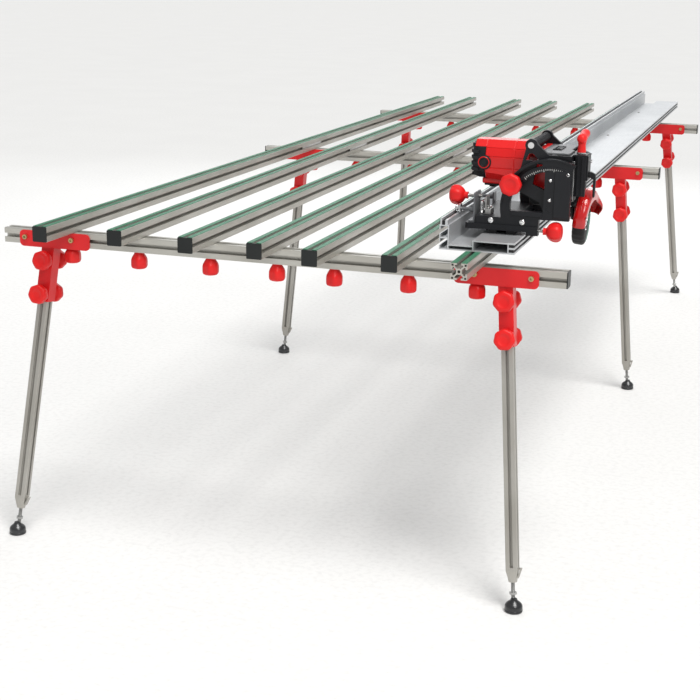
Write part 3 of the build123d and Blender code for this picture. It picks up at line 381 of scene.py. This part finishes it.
# ------------------------------------------------------------------ knobs
def knob(shape, matrix, radius, head, hub_radius, hub, lobes, depth=0.16):
    """A moulded star knob: a coned hub, a lobed head with soft edges and a dished end."""
    profile = [
        (hub_radius, 0.0), (hub_radius, hub * 0.25), (hub_radius * 1.12, hub * 0.5),
        (radius * 0.62, hub - 0.8), (radius * 0.80, hub, depth * 0.4),
        (radius * 0.93, hub + head * 0.06, depth * 0.75),
        (radius * 0.99, hub + head * 0.16, depth), (radius, hub + head * 0.5, depth * 1.06),
        (radius * 0.985, hub + head * 0.80, depth), (radius * 0.93, hub + head * 0.91, depth * 0.8),
        (radius * 0.82, hub + head * 0.97, depth * 0.55), (radius * 0.6, hub + head, depth * 0.2),
        (radius * 0.54, hub + head * 0.985), (radius * 0.47, hub + head * 0.93),
        (radius * 0.2, hub + head * 0.92), (radius * 0.04, hub + head * 0.92),
    ]
    shape.lathe(profile, matrix, segments=lobes * 12, lobes=lobes)


def ball_knob(shape, matrix, radius, head, hub_radius, hub, lobes, depth):
    """A saw's lock knob: it swells from a narrow neck to a round, lightly fluted head."""
    profile = [
        (hub_radius, 0.0), (hub_radius * 0.94, hub * 0.5), (hub_radius, hub),
        (radius * 0.50, hub + head * 0.04), (radius * 0.70, hub + head * 0.13, depth * 0.5),
        (radius * 0.86, hub + head * 0.26, depth * 0.8),
        (radius * 0.965, hub + head * 0.42, depth), (radius, hub + head * 0.58, depth),
        (radius * 0.975, hub + head * 0.72, depth), (radius * 0.90, hub + head * 0.84, depth * 0.8),
        (radius * 0.76, hub + head * 0.935, depth * 0.5), (radius * 0.58, hub + head * 0.985, depth * 0.2),
        (radius * 0.46, hub + head), (radius * 0.40, hub + head * 0.985), (radius * 0.36, hub + head * 0.95),
        (radius * 0.1, hub + head * 0.94),
    ]
    shape.lathe(profile, matrix, segments=lobes * 14, lobes=lobes)


def bell(shape, matrix):
    """A slat's clamp knob: a cone that opens into a skirt with soft flutes and a rounded end."""
    profile = [
        (11.6, 0.0), (12.0, 3.0), (13.6, 6.0, 0.01), (16.2, 9.6, 0.03), (19.0, 13.6, 0.05),
        (21.2, 17.6, 0.07), (22.3, 21.6, 0.09), (22.6, 26.0, 0.10), (22.6, 36.0, 0.10),
        (22.0, 40.0, 0.09), (19.8, 43.4, 0.07),
        (15.6, 45.4, 0.04), (12.0, 46.0), (10.8, 45.4), (10.0, 44.0), (4.0, 43.8), (0.8, 43.8),
    ]
    shape.lathe(profile, matrix, segments=72, lobes=6)


slat_knobs = Shape()
for points in islands("slat_clamp_knobs"):
    low, high = points.min(0), points.max(0)
    middle = (low + high) / 2
    bell(slat_knobs, frame_at((middle[0], middle[1], high[2]), (0, 0, -1)))
slat_knobs.piece("slat_knobs", "bench", "knob", "knob_red", replaces=["slat_clamp_knobs"])

SOCKET_FACE = 18.5
CLAMP_DROPS = (38.0, 130.0)


def leg_axes(name):
    """The leg's top, its up direction and the normal of its front face."""
    joint = joints[f"leg_{name}_slide"]
    up = -Vector(joint["axis"])
    across = (Vector((1, 0, 0)) - up * up.x).normalized()
    return Vector(joint["pos_m"]), up, up.cross(across)


leg_knobs = Shape()
for name in LEG_NAMES:
    top, up, normal = leg_axes(name)
    for drop in CLAMP_DROPS:
        for side in (1, -1):
            origin = top - up * drop * MM + normal * side * SOCKET_FACE * MM
            knob(leg_knobs, frame_at(origin, normal * side, up), 26.8, 22.0, 9.0, 12.0, 7, 0.06)
leg_knobs.piece("leg_knobs", "bench", "knob", "knob_red", replaces=["leg_clamp_knobs"])


def lock_knob(name, body, node, direction, maker, radius, head, hub, lobes, depth):
    """A lock knob of the saw, placed by its CAD node's outer face."""
    low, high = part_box(node)
    direction = Vector(direction)
    origin = (low + high) / 2
    axis = [index for index in range(3) if direction[index]][0]
    origin[axis] = (high if direction[axis] > 0 else low)[axis]
    origin -= direction * (head + hub) * MM
    shape = Shape()
    maker(shape, frame_at(origin, direction, (0, 0, 1)), radius, head, 9.0, hub, lobes, depth)
    inner = (low if direction[axis] > 0 else high)[axis]
    reach = abs(origin[axis] - inner) / MM
    screw = Shape()
    profile = [(3.2, -reach)]
    pitch = 1.5
    for index in range(int(reach / pitch)):
        start = -reach + pitch * index
        profile += [(4.0, start + 0.5), (4.0, start + 0.9), (3.4, start + 1.4)]
    profile.append((3.9, 0.5))
    screw.lathe(profile, frame_at(origin, direction), segments=20)
    screw.piece(name + "_screw", body, "steel", "steel")
    return shape.piece(name, body, "knob", "knob_red", replaces=[node])


lock_knob("wall_lock", "wall_lock", "wall_lock_knob", (-1, 0, 0), ball_knob, 25.0, 38.0, 8.0, 6, 0.10)
lock_knob("edge_lock", "edge_lock", "edge_lock_knob", (1, 0, 0), ball_knob, 25.0, 38.0, 8.0, 6, 0.10)
lock_knob("bevel_lock", "bevel_lock", "bevel_lock_knob", (0, -1, 0), knob, 27.0, 20.0, 8.0, 8, 0.05)


# ------------------------------------------------------------------ feet
PAD_TOP = 34.0
STEM_PITCH = 1.75
for name in LEG_NAMES:
    node = f"foot_{name}"
    low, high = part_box(node)
    top, up, normal = leg_axes(name)
    floor = Vector(joints[f"foot_{name}_screw"]["pos_m"])
    pad = Shape()
    pad_profile = [(20.6, 0.0), (22.6, 1.2), (23.0, 3.0), (23.0, 5.4), (22.2, 6.4), (22.4, 8.0),
                   (22.4, 14.0), (21.4, 17.6), (18.6, 21.4), (14.6, 24.8), (11.0, 27.6), (8.8, 30.6),
                   (8.0, 33.4), (6.0, PAD_TOP)]
    pad.lathe(pad_profile, Matrix.Translation(Vector((floor.x, floor.y, 0.0))), segments=48)
    pad.piece(node + "_pad", f"foot_{name}", "pad", "rubber_black", replaces=[node])
    start = floor + up * (PAD_TOP / up.z - 4.0) * MM
    stem_length = (high - start).z / up.z / MM - 1.0
    stem = Shape()
    profile = [(4.2, 0.0)]
    for index in range(int(stem_length / STEM_PITCH)):
        base = STEM_PITCH * index
        profile += [(5.0, base + 0.6), (5.0, base + 1.0), (4.3, base + 1.6)]
    profile.append((4.2, stem_length))
    stem.lathe(profile, frame_at(start, up), segments=24)
    corner = 8.4 / math.cos(math.pi / 6)
    hexagon = [(corner * math.cos(math.pi / 3 * k), corner * math.sin(math.pi / 3 * k)) for k in range(6)]
    stem.prism(hexagon, 12.0, 18.0, frame_at(start, up, (1, 0, 0)))
    stem.piece(node + "_stem", f"foot_{name}", "stem", "steel")


# ------------------------------------------------------------------ saw: motor
MOTOR = (SAW_Y, 1084.0)


def motor_ring(x, inset, groove=0.0):
    """The motor's eight-sided outline at one x, with shallow parting grooves at two heights."""
    spread = min(max((x - 524.0) / 112.0, 0.0), 1.0)
    half, top, low = 43.0 + 8.0 * spread - inset, 49.0 - inset, 46.0 + 11.0 * spread - inset
    right = [(22 - inset, top), (half - 6, 31), (half - 6 - groove, 30), (half - 5.4, 28.4), (half, 10),
             (half - groove, 9), (half, 7.6), (half, -18), (half - groove, -19), (half, -20.4),
             (half, 16 - low), (half - 12, -low)]
    outline = right + [(-y, z) for y, z in reversed(right)]
    return [at(x, MOTOR[0] + y, MOTOR[1] + z) for y, z in outline]


motor = Shape()
sections = [(523.5, 3.0, 0.0), (524.0, 1.0, 1.0), (526.0, 0.0, 1.4), (560.0, 0.0, 1.4), (596.0, 0.0, 1.4),
            (597.0, 1.2, 0.6), (599.0, 1.2, 0.6), (600.0, 0.0, 1.4), (634.0, 0.0, 1.4), (636.0, 1.6, 0.6)]
motor.grid([motor_ring(*section) for section in sections])
motor.piece("motor_shell", "cutter", "saw_red", "saw_red", bevel=1.6, segments=3, replaces=["motor_housing"],
            angle=20.0)

cap = Shape()
cap.grid([motor_ring(x, inset) for x, inset in ((491.0, 8.0), (494.0, 5.0), (508.0, 1.2), (523.0, 0.8))])
for row in range(6):
    z = -37.0 + 14.4 * row
    reach = 40.0 if abs(z) < 26 else 29.0
    ring = [(-reach, z - 4.2), (reach, z - 4.2), (reach, z + 4.2), (-reach, z + 4.2)]
    cap.grid([[at(x, MOTOR[0] + y * scale, MOTOR[1] + height) for y, height in ring]
              for x, scale in ((487.6, 0.93), (500.0, 1.0))])
for side in (-1, 1):
    for row in range(5):
        z = -24.0 + 14.4 * row
        y0 = MOTOR[0] + side * 40.5
        y1 = MOTOR[0] + side * 44.9
        if abs(z) < 27:
            cap.block(492.0, 507.0, min(y0, y1), max(y0, y1), MOTOR[1] + z - 4.0, MOTOR[1] + z + 4.0)
cap.piece("motor_end", "cutter", "saw_black", "saw_black", bevel=1.5, segments=3, replaces=["motor_end_cap"])

brushes = Shape()
brush_rings = Shape()
for side in (-1, 1):
    matrix = frame_at(at(521.0, MOTOR[0] + side * 44.6, 1078.0), (0, side, 0), (0, 0, 1))
    brushes.lathe([(11.5, 0.0), (11.5, 2.8), (10.8, 3.8), (9.2, 4.1), (8.6, 3.4), (7.4, 3.2), (6.8, 4.0),
                   (2.0, 4.2)], matrix, segments=40)
    brush_rings.lathe([(14.6, 0.0), (14.6, 2.0), (14.0, 2.6), (12.8, 2.6), (12.2, 2.0), (12.2, 0.2)], matrix,
                      segments=48)
    brushes.lathe([(18.6, -2.0), (18.4, 1.4), (17.4, 2.0), (12.0, 2.0), (11.0, 0.4)], matrix, segments=48)
brushes.piece("brush_plugs", "cutter", "saw_black", "saw_black", replaces=["brush_caps"])
brush_rings.piece("brush_rims", "cutter", "saw_red", "saw_red")
hood = Shape()
hood.grid([[at(x, MOTOR[0] + y, MOTOR[1] + z) for y, z in
            ((-36.0, 32.0), (-21.5, 48.8), (21.5, 48.8), (36.0, 32.0), (32.0, 31.0), (19.0, 44.6),
             (-19.0, 44.6), (-32.0, 31.0))] for x in (496.0, 500.0, 525.0)])
hood.piece("motor_hood", "cutter", "saw_red", "saw_red", bevel=1.4, segments=3, angle=20.0)

boss = Shape()
boss.block(514.0, 566.0, -1747.0, -1697.0, 1023.0, 1038.0)
boss.piece("motor_foot_red", "cutter", "saw_red", "saw_red", bevel=4.0, segments=3)
band = Shape()
band.block(519.0, 559.0, -1743.0, -1701.0, 1018.0, 1025.0)
band.piece("motor_foot_band", "cutter", "saw_black", "saw_black", bevel=2.5, segments=3)

case = Shape()
case.block(640.0, 738.0, -1782.0, -1662.0, 1022.0, 1086.0)
case.piece("case_upper", "cutter", "saw_red", "saw_red", bevel=8.0, segments=4, replaces=["gear_case"])
case = Shape()
case.block(641.0, 738.5, -1780.0, -1664.0, 982.0, 1021.0)
case.prism([(-30.0, 0.0), (30.0, 0.0), (24.0, -20.0), (12.0, -38.0), (-12.0, -38.0), (-24.0, -20.0)],
           0.0, 10.0, frame_at(at(738.5, SAW_Y, 981.0), (1, 0, 0), (0, 1, 0)))
case.piece("case_lower", "cutter", "saw_black", "saw_black", bevel=5.0, segments=3)
shoulder = Shape()
shoulder.block(652.0, 668.0, -1811.0, -1633.0, 1107.0, 1117.0)
shoulder.piece("red_shoulder", "tilt_head", "saw_red", "saw_red", bevel=2.5, segments=3)

# ------------------------------------------------------------------ saw: guard, boot, blade
BLADE = (SAW_Y, 950.5)
BLADE_X = 768.5
GUARD_LEFT = 752.3
LEAN = math.radians(6.0)


def lean(x, y, z):
    """A point of the guard, leant about the arbor's middle so that its top is farther right."""
    across, up = x - BLADE_X, z - BLADE[1]
    return at(BLADE_X + across * math.cos(LEAN) + up * math.sin(LEAN), y,
              BLADE[1] + up * math.cos(LEAN) - across * math.sin(LEAN))


def guard_section(angle, x0, x1, outer, inner_left, inner_right, round_by):
    """One cross-section of the drum at an angle: up the left wall, over the rim, down the right wall."""
    wall = 2.6
    points = [(x0, inner_left)]
    for step in range(6):
        turn = math.pi / 2 * step / 5
        points.append((x0 + round_by * (1 - math.cos(turn)), outer - round_by * (1 - math.sin(turn))))
    for step in range(6):
        turn = math.pi / 2 * (1 - step / 5)
        points.append((x1 - round_by * (1 - math.cos(turn)), outer - round_by * (1 - math.sin(turn))))
    points.append((x1, inner_right))
    points.append((x1 - wall, inner_right))
    points += [(x1 - wall, outer - round_by), (x1 - round_by, outer - wall), (x0 + round_by, outer - wall),
               (x0 + wall, outer - round_by), (x0 + wall, inner_left)]
    return [lean(x, BLADE[0] + r * math.cos(angle), BLADE[1] + r * math.sin(angle)) for x, r in points]


guard = Shape()
steps = 44
rings = []
for step in range(steps + 1):
    angle = math.radians(2.0 + 192.0 * step / steps)
    bulge = 10.0 * math.cos(angle / 2) ** 2 + 12.0 * math.exp(-((math.degrees(angle) - 24.0) / 20.0) ** 2)
    rings.append(guard_section(angle, GUARD_LEFT, 784.7 + bulge, 71.8, 21.0, 45.0 + bulge * 0.25,
                               11.0 + bulge * 0.3))
guard.grid(rings)
for x in (757.0, BLADE_X, 780.0):
    ring_points = []
    for step in range(25):
        angle = math.radians(20.0 + 140.0 * step / 24)
        reach = 71.9 if x == BLADE_X else 70.2
        ring_points.append(lean(x, BLADE[0] + reach * math.cos(angle), BLADE[1] + reach * math.sin(angle)))
    guard.tube(ring_points, 0.9, sides=8)
# The guard shell and its inner ring take the saw red painted darker, as painted shade
guard.piece("guard_shell", "cutter", "guard_red_painted_shade", "saw_red", bevel=0.8, replaces=["blade_guard"])

plate = Shape()
plate.lathe([(46.0, 0.0), (46.0, 2.0), (44.0, 2.8), (23.0, 2.8), (21.0, 1.6), (21.0, 0.0)],
            frame_at(at(752.2, *BLADE), (math.cos(LEAN), 0, -math.sin(LEAN))), segments=64)
plate.piece("guard_inner_ring", "cutter", "guard_red_painted_shade", "saw_red")

boot = Shape()
rings = []
for step in range(19):
    angle = math.radians(193.0 + 62.0 * step / 18)
    swell = 1.0 + 0.012 * math.sin(step * math.pi / 2.0)
    rings.append(guard_section(angle, 753.0, 785.2, 68.6 * swell, 40.0, 24.0, 9.0))
boot.grid(rings)
boot.piece("guard_boot", "cutter", "rubber", "rubber_black", bevel=1.0, replaces=["guard_skirt"])

disc = Shape()
rings = []
for radius, offset in ((11.2, -1.1), (25.0, -1.1), (34.0, 5.6), (56.0, 5.6), (57.0, 5.3), (62.4, 5.3),
                       (62.4, 8.3), (57.0, 8.3), (56.0, 8.0), (33.0, 8.0), (24.0, 1.1), (11.2, 1.1)):
    ring = []
    for step in range(144):
        turn = 2 * math.pi * step / 144
        reach = min(radius, 57.4) if step % 12 == 0 else radius
        y, z = BLADE[0] + reach * math.cos(turn), BLADE[1] + reach * math.sin(turn)
        ring.append(at(BLADE_X + offset, y, z))
    rings.append(ring)
rings.append(rings[0])
disc.grid(rings, cap_start=False, cap_end=False)
disc.piece("blade_disc", "blade", "blade", "blade_steel", replaces=["saw_blade"])

bolts = Shape()
for angle, reach in ((184.0, 57.0), (198.0, 57.0), (172.0, 66.0)):
    turn = math.radians(angle)
    matrix = frame_at(lean(784.5, BLADE[0] + reach * math.cos(turn), BLADE[1] + reach * math.sin(turn)),
                      (math.cos(LEAN), 0, -math.sin(LEAN)))
    bolts.lathe([(3.6, 0.0), (3.6, 1.6), (2.9, 2.4), (1.4, 2.5), (1.2, 1.4)], matrix, segments=24)
bolts.piece("guard_bolts", "cutter", "chrome", "chrome")


# ------------------------------------------------------------------ saw: quadrants and frame
SAW_ENDS = ((-1850.0, 1), (-1594.0, -1))
ARC_START = 66.0
TICK_OUTER = 97.4


def quadrant_point(radius, degrees):
    """The layout's x and z at a radius and an angle about the tilt pivot."""
    turn = math.radians(degrees)
    return PIVOT.x + radius * math.cos(turn), PIVOT.z + radius * math.sin(turn)


rims = Shape()
ticks = Shape()
fittings = Shape()
pads = Shape()
for end, inward in SAW_ENDS:
    face = end + inward * 3.0
    for outer, inner, proud in ((121.0, 116.2, 2.4), (102.2, 98.2, 1.8)):
        rings = []
        for step in range(41):
            degrees = ARC_START + 112.0 * step / 40
            corners = []
            for radius, out in ((inner, -0.5), (inner, proud), (outer, proud), (outer, -0.5)):
                x, z = quadrant_point(radius, degrees)
                corners.append(at(x, face - inward * out, z))
            rings.append(corners)
        rims.grid(rings)
    for step in range(21):
        degrees = 131.0 - 3.0 * step
        long = step % 5 == 0
        inner = 91.0 if long else 93.6
        centre = (inner + TICK_OUTER) / 2
        x, z = quadrant_point(centre, degrees)
        matrix = frame_at(at(x, face - inward * 0.1, z), (0, -inward, 0),
                          (math.cos(math.radians(degrees)), 0, math.sin(math.radians(degrees))))
        half = (TICK_OUTER - inner) / 2
        ticks.prism([(-half, -0.55), (half, -0.55), (half, 0.55), (-half, 0.55)], 0.0, 0.5, matrix)
    for x, z in ((704.0, 1055.0), (704.0, 1007.0), (746.0, 1070.0)):
        matrix = frame_at(at(x, face - inward * 0.2, z), (0, -inward, 0))
        fittings.lathe([(4.2, 0.0), (4.2, 1.8), (3.4, 3.0), (2.2, 3.4), (2.0, 2.0), (0.4, 2.0)], matrix,
                       segments=24)
    y0, y1 = sorted((face - inward * 2.6, face + inward * 0.5))
    pads.block(714.0, 752.0, y0, y1, 964.0, 1078.0)
    y0, y1 = sorted((face - inward * 3.4, face + inward * 0.5))
    pads.block(612.0, 688.0, y0, y1, 964.0, 976.0)
rims.piece("quadrant_rims", "carriage", "cast", "cast_black", bevel=0.6)
pads.piece("quadrant_pads", "carriage", "cast", "cast_black", bevel=1.6, segments=3)
fittings.piece("quadrant_screws", "carriage", "chrome", "chrome")

scale_plate = Shape()
for end, inward in SAW_ENDS:
    face = end + inward * 3.6
    rings = []
    for step in range(31):
        degrees = ARC_START + 70.0 * step / 30
        corners = []
        for radius, out in ((90.0, 0.0), (90.0, 3.0), (98.6, 3.0), (98.6, 0.0)):
            x, z = quadrant_point(radius, degrees)
            corners.append(at(x, face + inward * out, z))
        rings.append(corners)
    scale_plate.grid(rings)
scale_plate.piece("scale_arc", "carriage", "cast", "cast_black", bevel=0.4)
ticks.piece("scale_ticks", "carriage", "tick", "silver_plate", smooth=False)

# ------------------------------------------------------------------ saw: carriage details
domes = Shape()
for points in islands("carriage_bolts"):
    low, high = points.min(0), points.max(0)
    middle = (low + high) / 2
    front = middle[1] < at(0, PIVOT.y, 0).y
    out = -1 if front else 1
    face = low[1] if front else high[1]
    matrix = frame_at((middle[0], face - out * 3.5 * MM, middle[2]), (0, out, 0))
    domes.lathe([(7.6, 0.0), (7.6, 0.6), (7.0, 2.0), (5.4, 3.2), (3.0, 3.9), (2.2, 3.9), (2.0, 2.2),
                 (0.3, 2.2)], matrix, segments=32)
domes.piece("carriage_domes", "carriage", "chrome", "chrome", replaces=["carriage_bolts"])

springs = Shape()
for y in (-1818.0, -1790.0):
    coil = []
    for step in range(12 * 7 + 1):
        turn = 2 * math.pi * step / 12
        coil.append(at(532.0 + 5.0 * math.cos(turn), y + 5.0 * math.sin(turn), 959.0 + 3.4 * step / 12))
    springs.tube(coil, 0.8, sides=8)
    springs.lathe([(2.4, 0.0), (2.4, 30.0), (5.6, 30.0), (5.6, 33.0), (3.0, 34.5)],
                  frame_at(at(532.0, y, 957.0), (0, 0, 1)), segments=24)
springs.piece("wall_springs", "carriage", "chrome", "chrome")
spring_seat = Shape()
spring_seat.block(541.0, 556.0, -1822.0, -1786.0, 958.0, 972.0)
spring_seat.block(541.0, 545.0, -1822.0, -1786.0, 970.0, 1002.0)
spring_seat.piece("spring_seat", "carriage", "silver", "silver_plate", bevel=1.0)
seat_bolts = Shape()
for y in (-1815.0, -1793.0):
    seat_bolts.lathe([(4.0, 0.0), (4.0, 3.0), (3.0, 4.0)], frame_at(at(549.5, y, 971.5), (0, 0, 1)),
                     segments=6)
    seat_bolts.lathe([(3.6, 0.0), (3.6, 2.4), (2.6, 3.2)], frame_at(at(541.4, y, 990.0), (-1, 0, 0)),
                     segments=24)
seat_bolts.piece("spring_seat_bolts", "carriage", "chrome", "chrome")

# ------------------------------------------------------------------ saw: head details
COLUMN_Y = -1768.0
SCREW_X = 762.0
COLUMN_RIGHT = 779.0
LEVER_Z = 1062.0
grip = Shape()
ring_profile = [(9.8, 0.0)]
for index in range(26):
    base = 3.0 + 6.8 * index
    ring_profile += [(10.4, base), (11.2, base + 1.0), (11.2, base + 4.6), (10.4, base + 5.6)]
ring_profile.append((9.8, 184.0))
grip.lathe(ring_profile, frame_at(at(650.0, -1814.5, 1134.0), (0, 1, 0)), segments=40)
grip.piece("handle_grip", "tilt_head", "saw_black", "saw_black", replaces=["carry_handle"])

lid = Shape()
lid_outline = [(668.0, -1811.0), (736.0, -1811.0), (741.0, -1806.0), (741.0, -1738.0), (733.0, -1728.0),
               (733.0, -1640.0), (726.0, -1633.0), (668.0, -1633.0)]
rings = []
for inset, z in ((0.0, 1112.0), (0.0, 1115.0), (1.4, 1116.4)):
    middle = Vector((704.0, SAW_Y))
    ring = []
    for x, y in lid_outline:
        toward = middle - Vector((x, y))
        toward.normalize()
        ring.append(at(x + toward.x * inset, y + toward.y * inset, z))
    rings.append(ring)
lid.grid(rings)
lid.piece("head_lid", "tilt_head", "cover", "silver_plate", bevel=0.8, replaces=["top_cover"])
frame_ring = Shape()
for x0, x1, y0, y1 in ((689.0, 692.6, -1751.0, -1693.0), (707.4, 711.0, -1751.0, -1693.0),
                       (689.0, 711.0, -1755.0, -1750.0), (689.0, 711.0, -1694.0, -1689.0)):
    frame_ring.block(x0, x1, y0, y1, 1115.8, 1119.0)
frame_ring.piece("switch_bezel", "tilt_head", "saw_black", "saw_black", bevel=0.7)
rocker = Shape()
rocker_side = [(-25.0, -2.0), (25.0, -2.0), (25.0, 5.4), (12.0, 3.2), (0.0, 2.6), (-12.0, 3.2), (-25.0, 6.4)]
rocker.grid([[at(x, SAW_Y + y, 1113.8 + z) for y, z in rocker_side] for x in (694.4, 705.6)])
rocker.piece("rocker_cap", "power_rocker", "saw_black", "saw_black", bevel=0.9, replaces=["power_switch"])

strips = Shape()
strips.block(748.2, 751.4, -1798.0, -1793.4, 1000.0, 1092.0)
strips.block(747.0, 752.4, -1799.4, -1792.4, 1092.0, 1097.0)
strips.piece("slideway_strip", "tilt_head", "chrome", "silver_plate", bevel=0.6)
column = Shape()
column.block(752.0, 779.4, -1796.0, -1790.5, 1012.0, 1112.5)
column.block(757.0, 762.0, -1799.0, -1795.5, 1016.0, 1108.0)
column.block(768.0, 773.0, -1799.0, -1795.5, 1016.0, 1108.0)
column.block(779.0, 783.0, -1790.0, -1748.0, 1050.0, 1110.0)
column.piece("column_ribs", "tilt_head", "cast", "cast_black", bevel=1.2, segments=3)
nut = Shape()
nut.lathe([(11.4, 0.0), (11.4, 3.0), (10.6, 4.0)],
          frame_at(at(SCREW_X, COLUMN_Y, 1112.2), (0, 0, 1), (1, 0, 0)), segments=6)
nut.piece("crank_collar", "crank", "chrome", "chrome", bevel=0.5)

handle = Shape()
path = [(SCREW_X, 0.0, 1116.5), (SCREW_X, 0.0, 1124.0), (SCREW_X, 0.0, 1134.0), (SCREW_X + 0.4, 0.0, 1143.0),
        (SCREW_X + 1.0, 4.0, 1150.0)]
neck = [10.8, 10.0, 9.2, 10.2, 11.4]
rings = []
for (x, y, z), radius in zip(path, neck):
    turns = [2 * math.pi * k / 28 for k in range(28)]
    rings.append([at(x + radius * math.cos(turn), COLUMN_Y + y + radius * math.sin(turn), z)
                  for turn in turns])
handle.grid(rings)
bar_from = at(SCREW_X, COLUMN_Y - 17.0, 1148.0)
bar_to = at(SCREW_X, COLUMN_Y + 54.0, 1158.0)
bar_dir = bar_to - bar_from
length = bar_dir.length / MM
profile = [(2.0, 0.0), (7.0, 0.8), (10.0, 3.4), (11.6, 8.0), (11.8, 16.0), (11.0, 24.0), (10.2, 34.0),
           (10.6, 44.0), (11.8, 54.0), (11.6, 62.0), (9.6, 67.6), (6.4, length - 0.8), (2.0, length)]
handle.lathe(profile, frame_at(bar_from, bar_dir), segments=36)
handle.piece("crank_handle", "crank", "knob", "knob_red", replaces=["plunge_crank"], angle=50.0)

lever = Shape()
outline = [(2.0, 8.0), (10.0, 8.0), (19.6, 3.0), (21.4, -8.0), (20.8, -52.0), (18.0, -55.0), (15.6, -52.0),
           (15.2, -10.0), (8.0, -5.6), (2.0, -5.6)]
lever.grid([[at(COLUMN_RIGHT + x, COLUMN_Y + y, LEVER_Z + z) for x, z in outline] for y in (-5.6, 5.6)])
lever.lathe([(3.0, -7.0), (3.0, 3.0), (6.6, 3.0), (6.6, 9.0), (5.0, 10.4)],
            frame_at(at(COLUMN_RIGHT, COLUMN_Y, LEVER_Z), (1, 0, 0)), segments=28)
lever.piece("plunge_lever", "plunge_lock", "saw_black", "saw_black", bevel=1.2, segments=3,
            replaces=["plunge_lock_lever"])

# ------------------------------------------------------------------ table details
screws = Shape()
for points in islands("guide_rail"):
    low, high = points.min(0), points.max(0)
    for index in range(4):
        y = low[1] + (high[1] - low[1]) * (index + 0.5) / 4
        matrix = frame_at((at(514, 0, 0).x, y, at(0, 0, 901.5).z), (0, 0, 1))
        screws.lathe([(5.0, -0.2), (5.0, 1.8), (4.2, 3.0), (2.6, 3.2), (2.4, 1.4), (0.3, 1.4)], matrix,
                     segments=24)
screws.piece("rail_screws", "bench", "steel", "steel")

# ------------------------------------------------------------------ floor, light, camera
floor = Shape()
floor.add([(-90, -90, 0), (90, -90, 0), (90, 90, 0), (-90, 90, 0)], [(0, 1, 2, 3)])
floor_mesh = bpy.data.meshes.new("floor")
floor_mesh.from_pydata([tuple(vert) for vert in floor.verts], [], floor.faces)
floor_piece = bpy.data.objects.new("floor", floor_mesh)
bpy.context.scene.collection.objects.link(floor_piece)
floor_mesh.materials.append(mats["floor"])
floor_piece.location.z = -0.0005

world = bpy.data.worlds.new("studio")
bpy.context.scene.world = world
world.use_nodes = True
background = world.node_tree.nodes["Background"]
background.inputs["Color"].default_value = (0.97, 0.985, 1.0, 1.0)
background.inputs["Strength"].default_value = 0.46


def area_light(name, place, target, size, power, color):
    light = bpy.data.lights.new(name, "AREA")
    light.shape = "RECTANGLE"
    light.size, light.size_y = size
    light.energy = power
    light.color = color
    lamp = bpy.data.objects.new(name, light)
    bpy.context.scene.collection.objects.link(lamp)
    lamp.location = Vector(place)
    lamp.rotation_euler = (Vector(target) - Vector(place)).to_track_quat("-Z", "Y").to_euler()
    return lamp


sun_data = bpy.data.lights.new("sun", "SUN")
sun_data.energy = 2.3
sun_data.angle = math.radians(28.0)
sun_data.color = (1.0, 0.985, 0.96)
sun = bpy.data.objects.new("sun", sun_data)
bpy.context.scene.collection.objects.link(sun)
sun.rotation_euler = Vector((-0.30, 0.26, -1.0)).to_track_quat("-Z", "Y").to_euler()
area_light("key", (3.2, -5.5, 4.2), (0.4, -1.2, 0.8), (2.2, 2.2), 110.0, (1.0, 0.98, 0.95))
area_light("sheen", (-1.2, 4.6, 3.4), (0.3, -1.0, 0.9), (4.5, 3.0), 70.0, (0.98, 0.99, 1.0))

# The camera stands where the photo's did: place in layout millimetres, then turn, dip and roll.
CAMERA_PLACE = (1288.5, -5123.0, 1549.3)
FOCAL_LENGTH = 71.03
YAW, PITCH, ROLL = (math.radians(angle) for angle in (18.305, 15.646, 0.802))
forward = Vector((-math.sin(YAW) * math.cos(PITCH), math.cos(YAW) * math.cos(PITCH), -math.sin(PITCH)))
right = Vector((math.cos(YAW), math.sin(YAW), 0.0))
above = right.cross(forward)
right_rolled = right * math.cos(ROLL) + above * math.sin(ROLL)
above_rolled = above * math.cos(ROLL) - right * math.sin(ROLL)
camera_data = bpy.data.cameras.new("camera")
camera_data.lens = FOCAL_LENGTH
camera_data.sensor_width = 36.0
camera_data.clip_end = 400.0
camera = bpy.data.objects.new("camera", camera_data)
bpy.context.scene.collection.objects.link(camera)
matrix = Matrix((right_rolled, above_rolled, -forward)).transposed().to_4x4()
matrix.translation = at(*CAMERA_PLACE)
camera.matrix_world = matrix
bpy.context.scene.camera = camera
bpy.context.scene.view_settings.view_transform = "Standard"
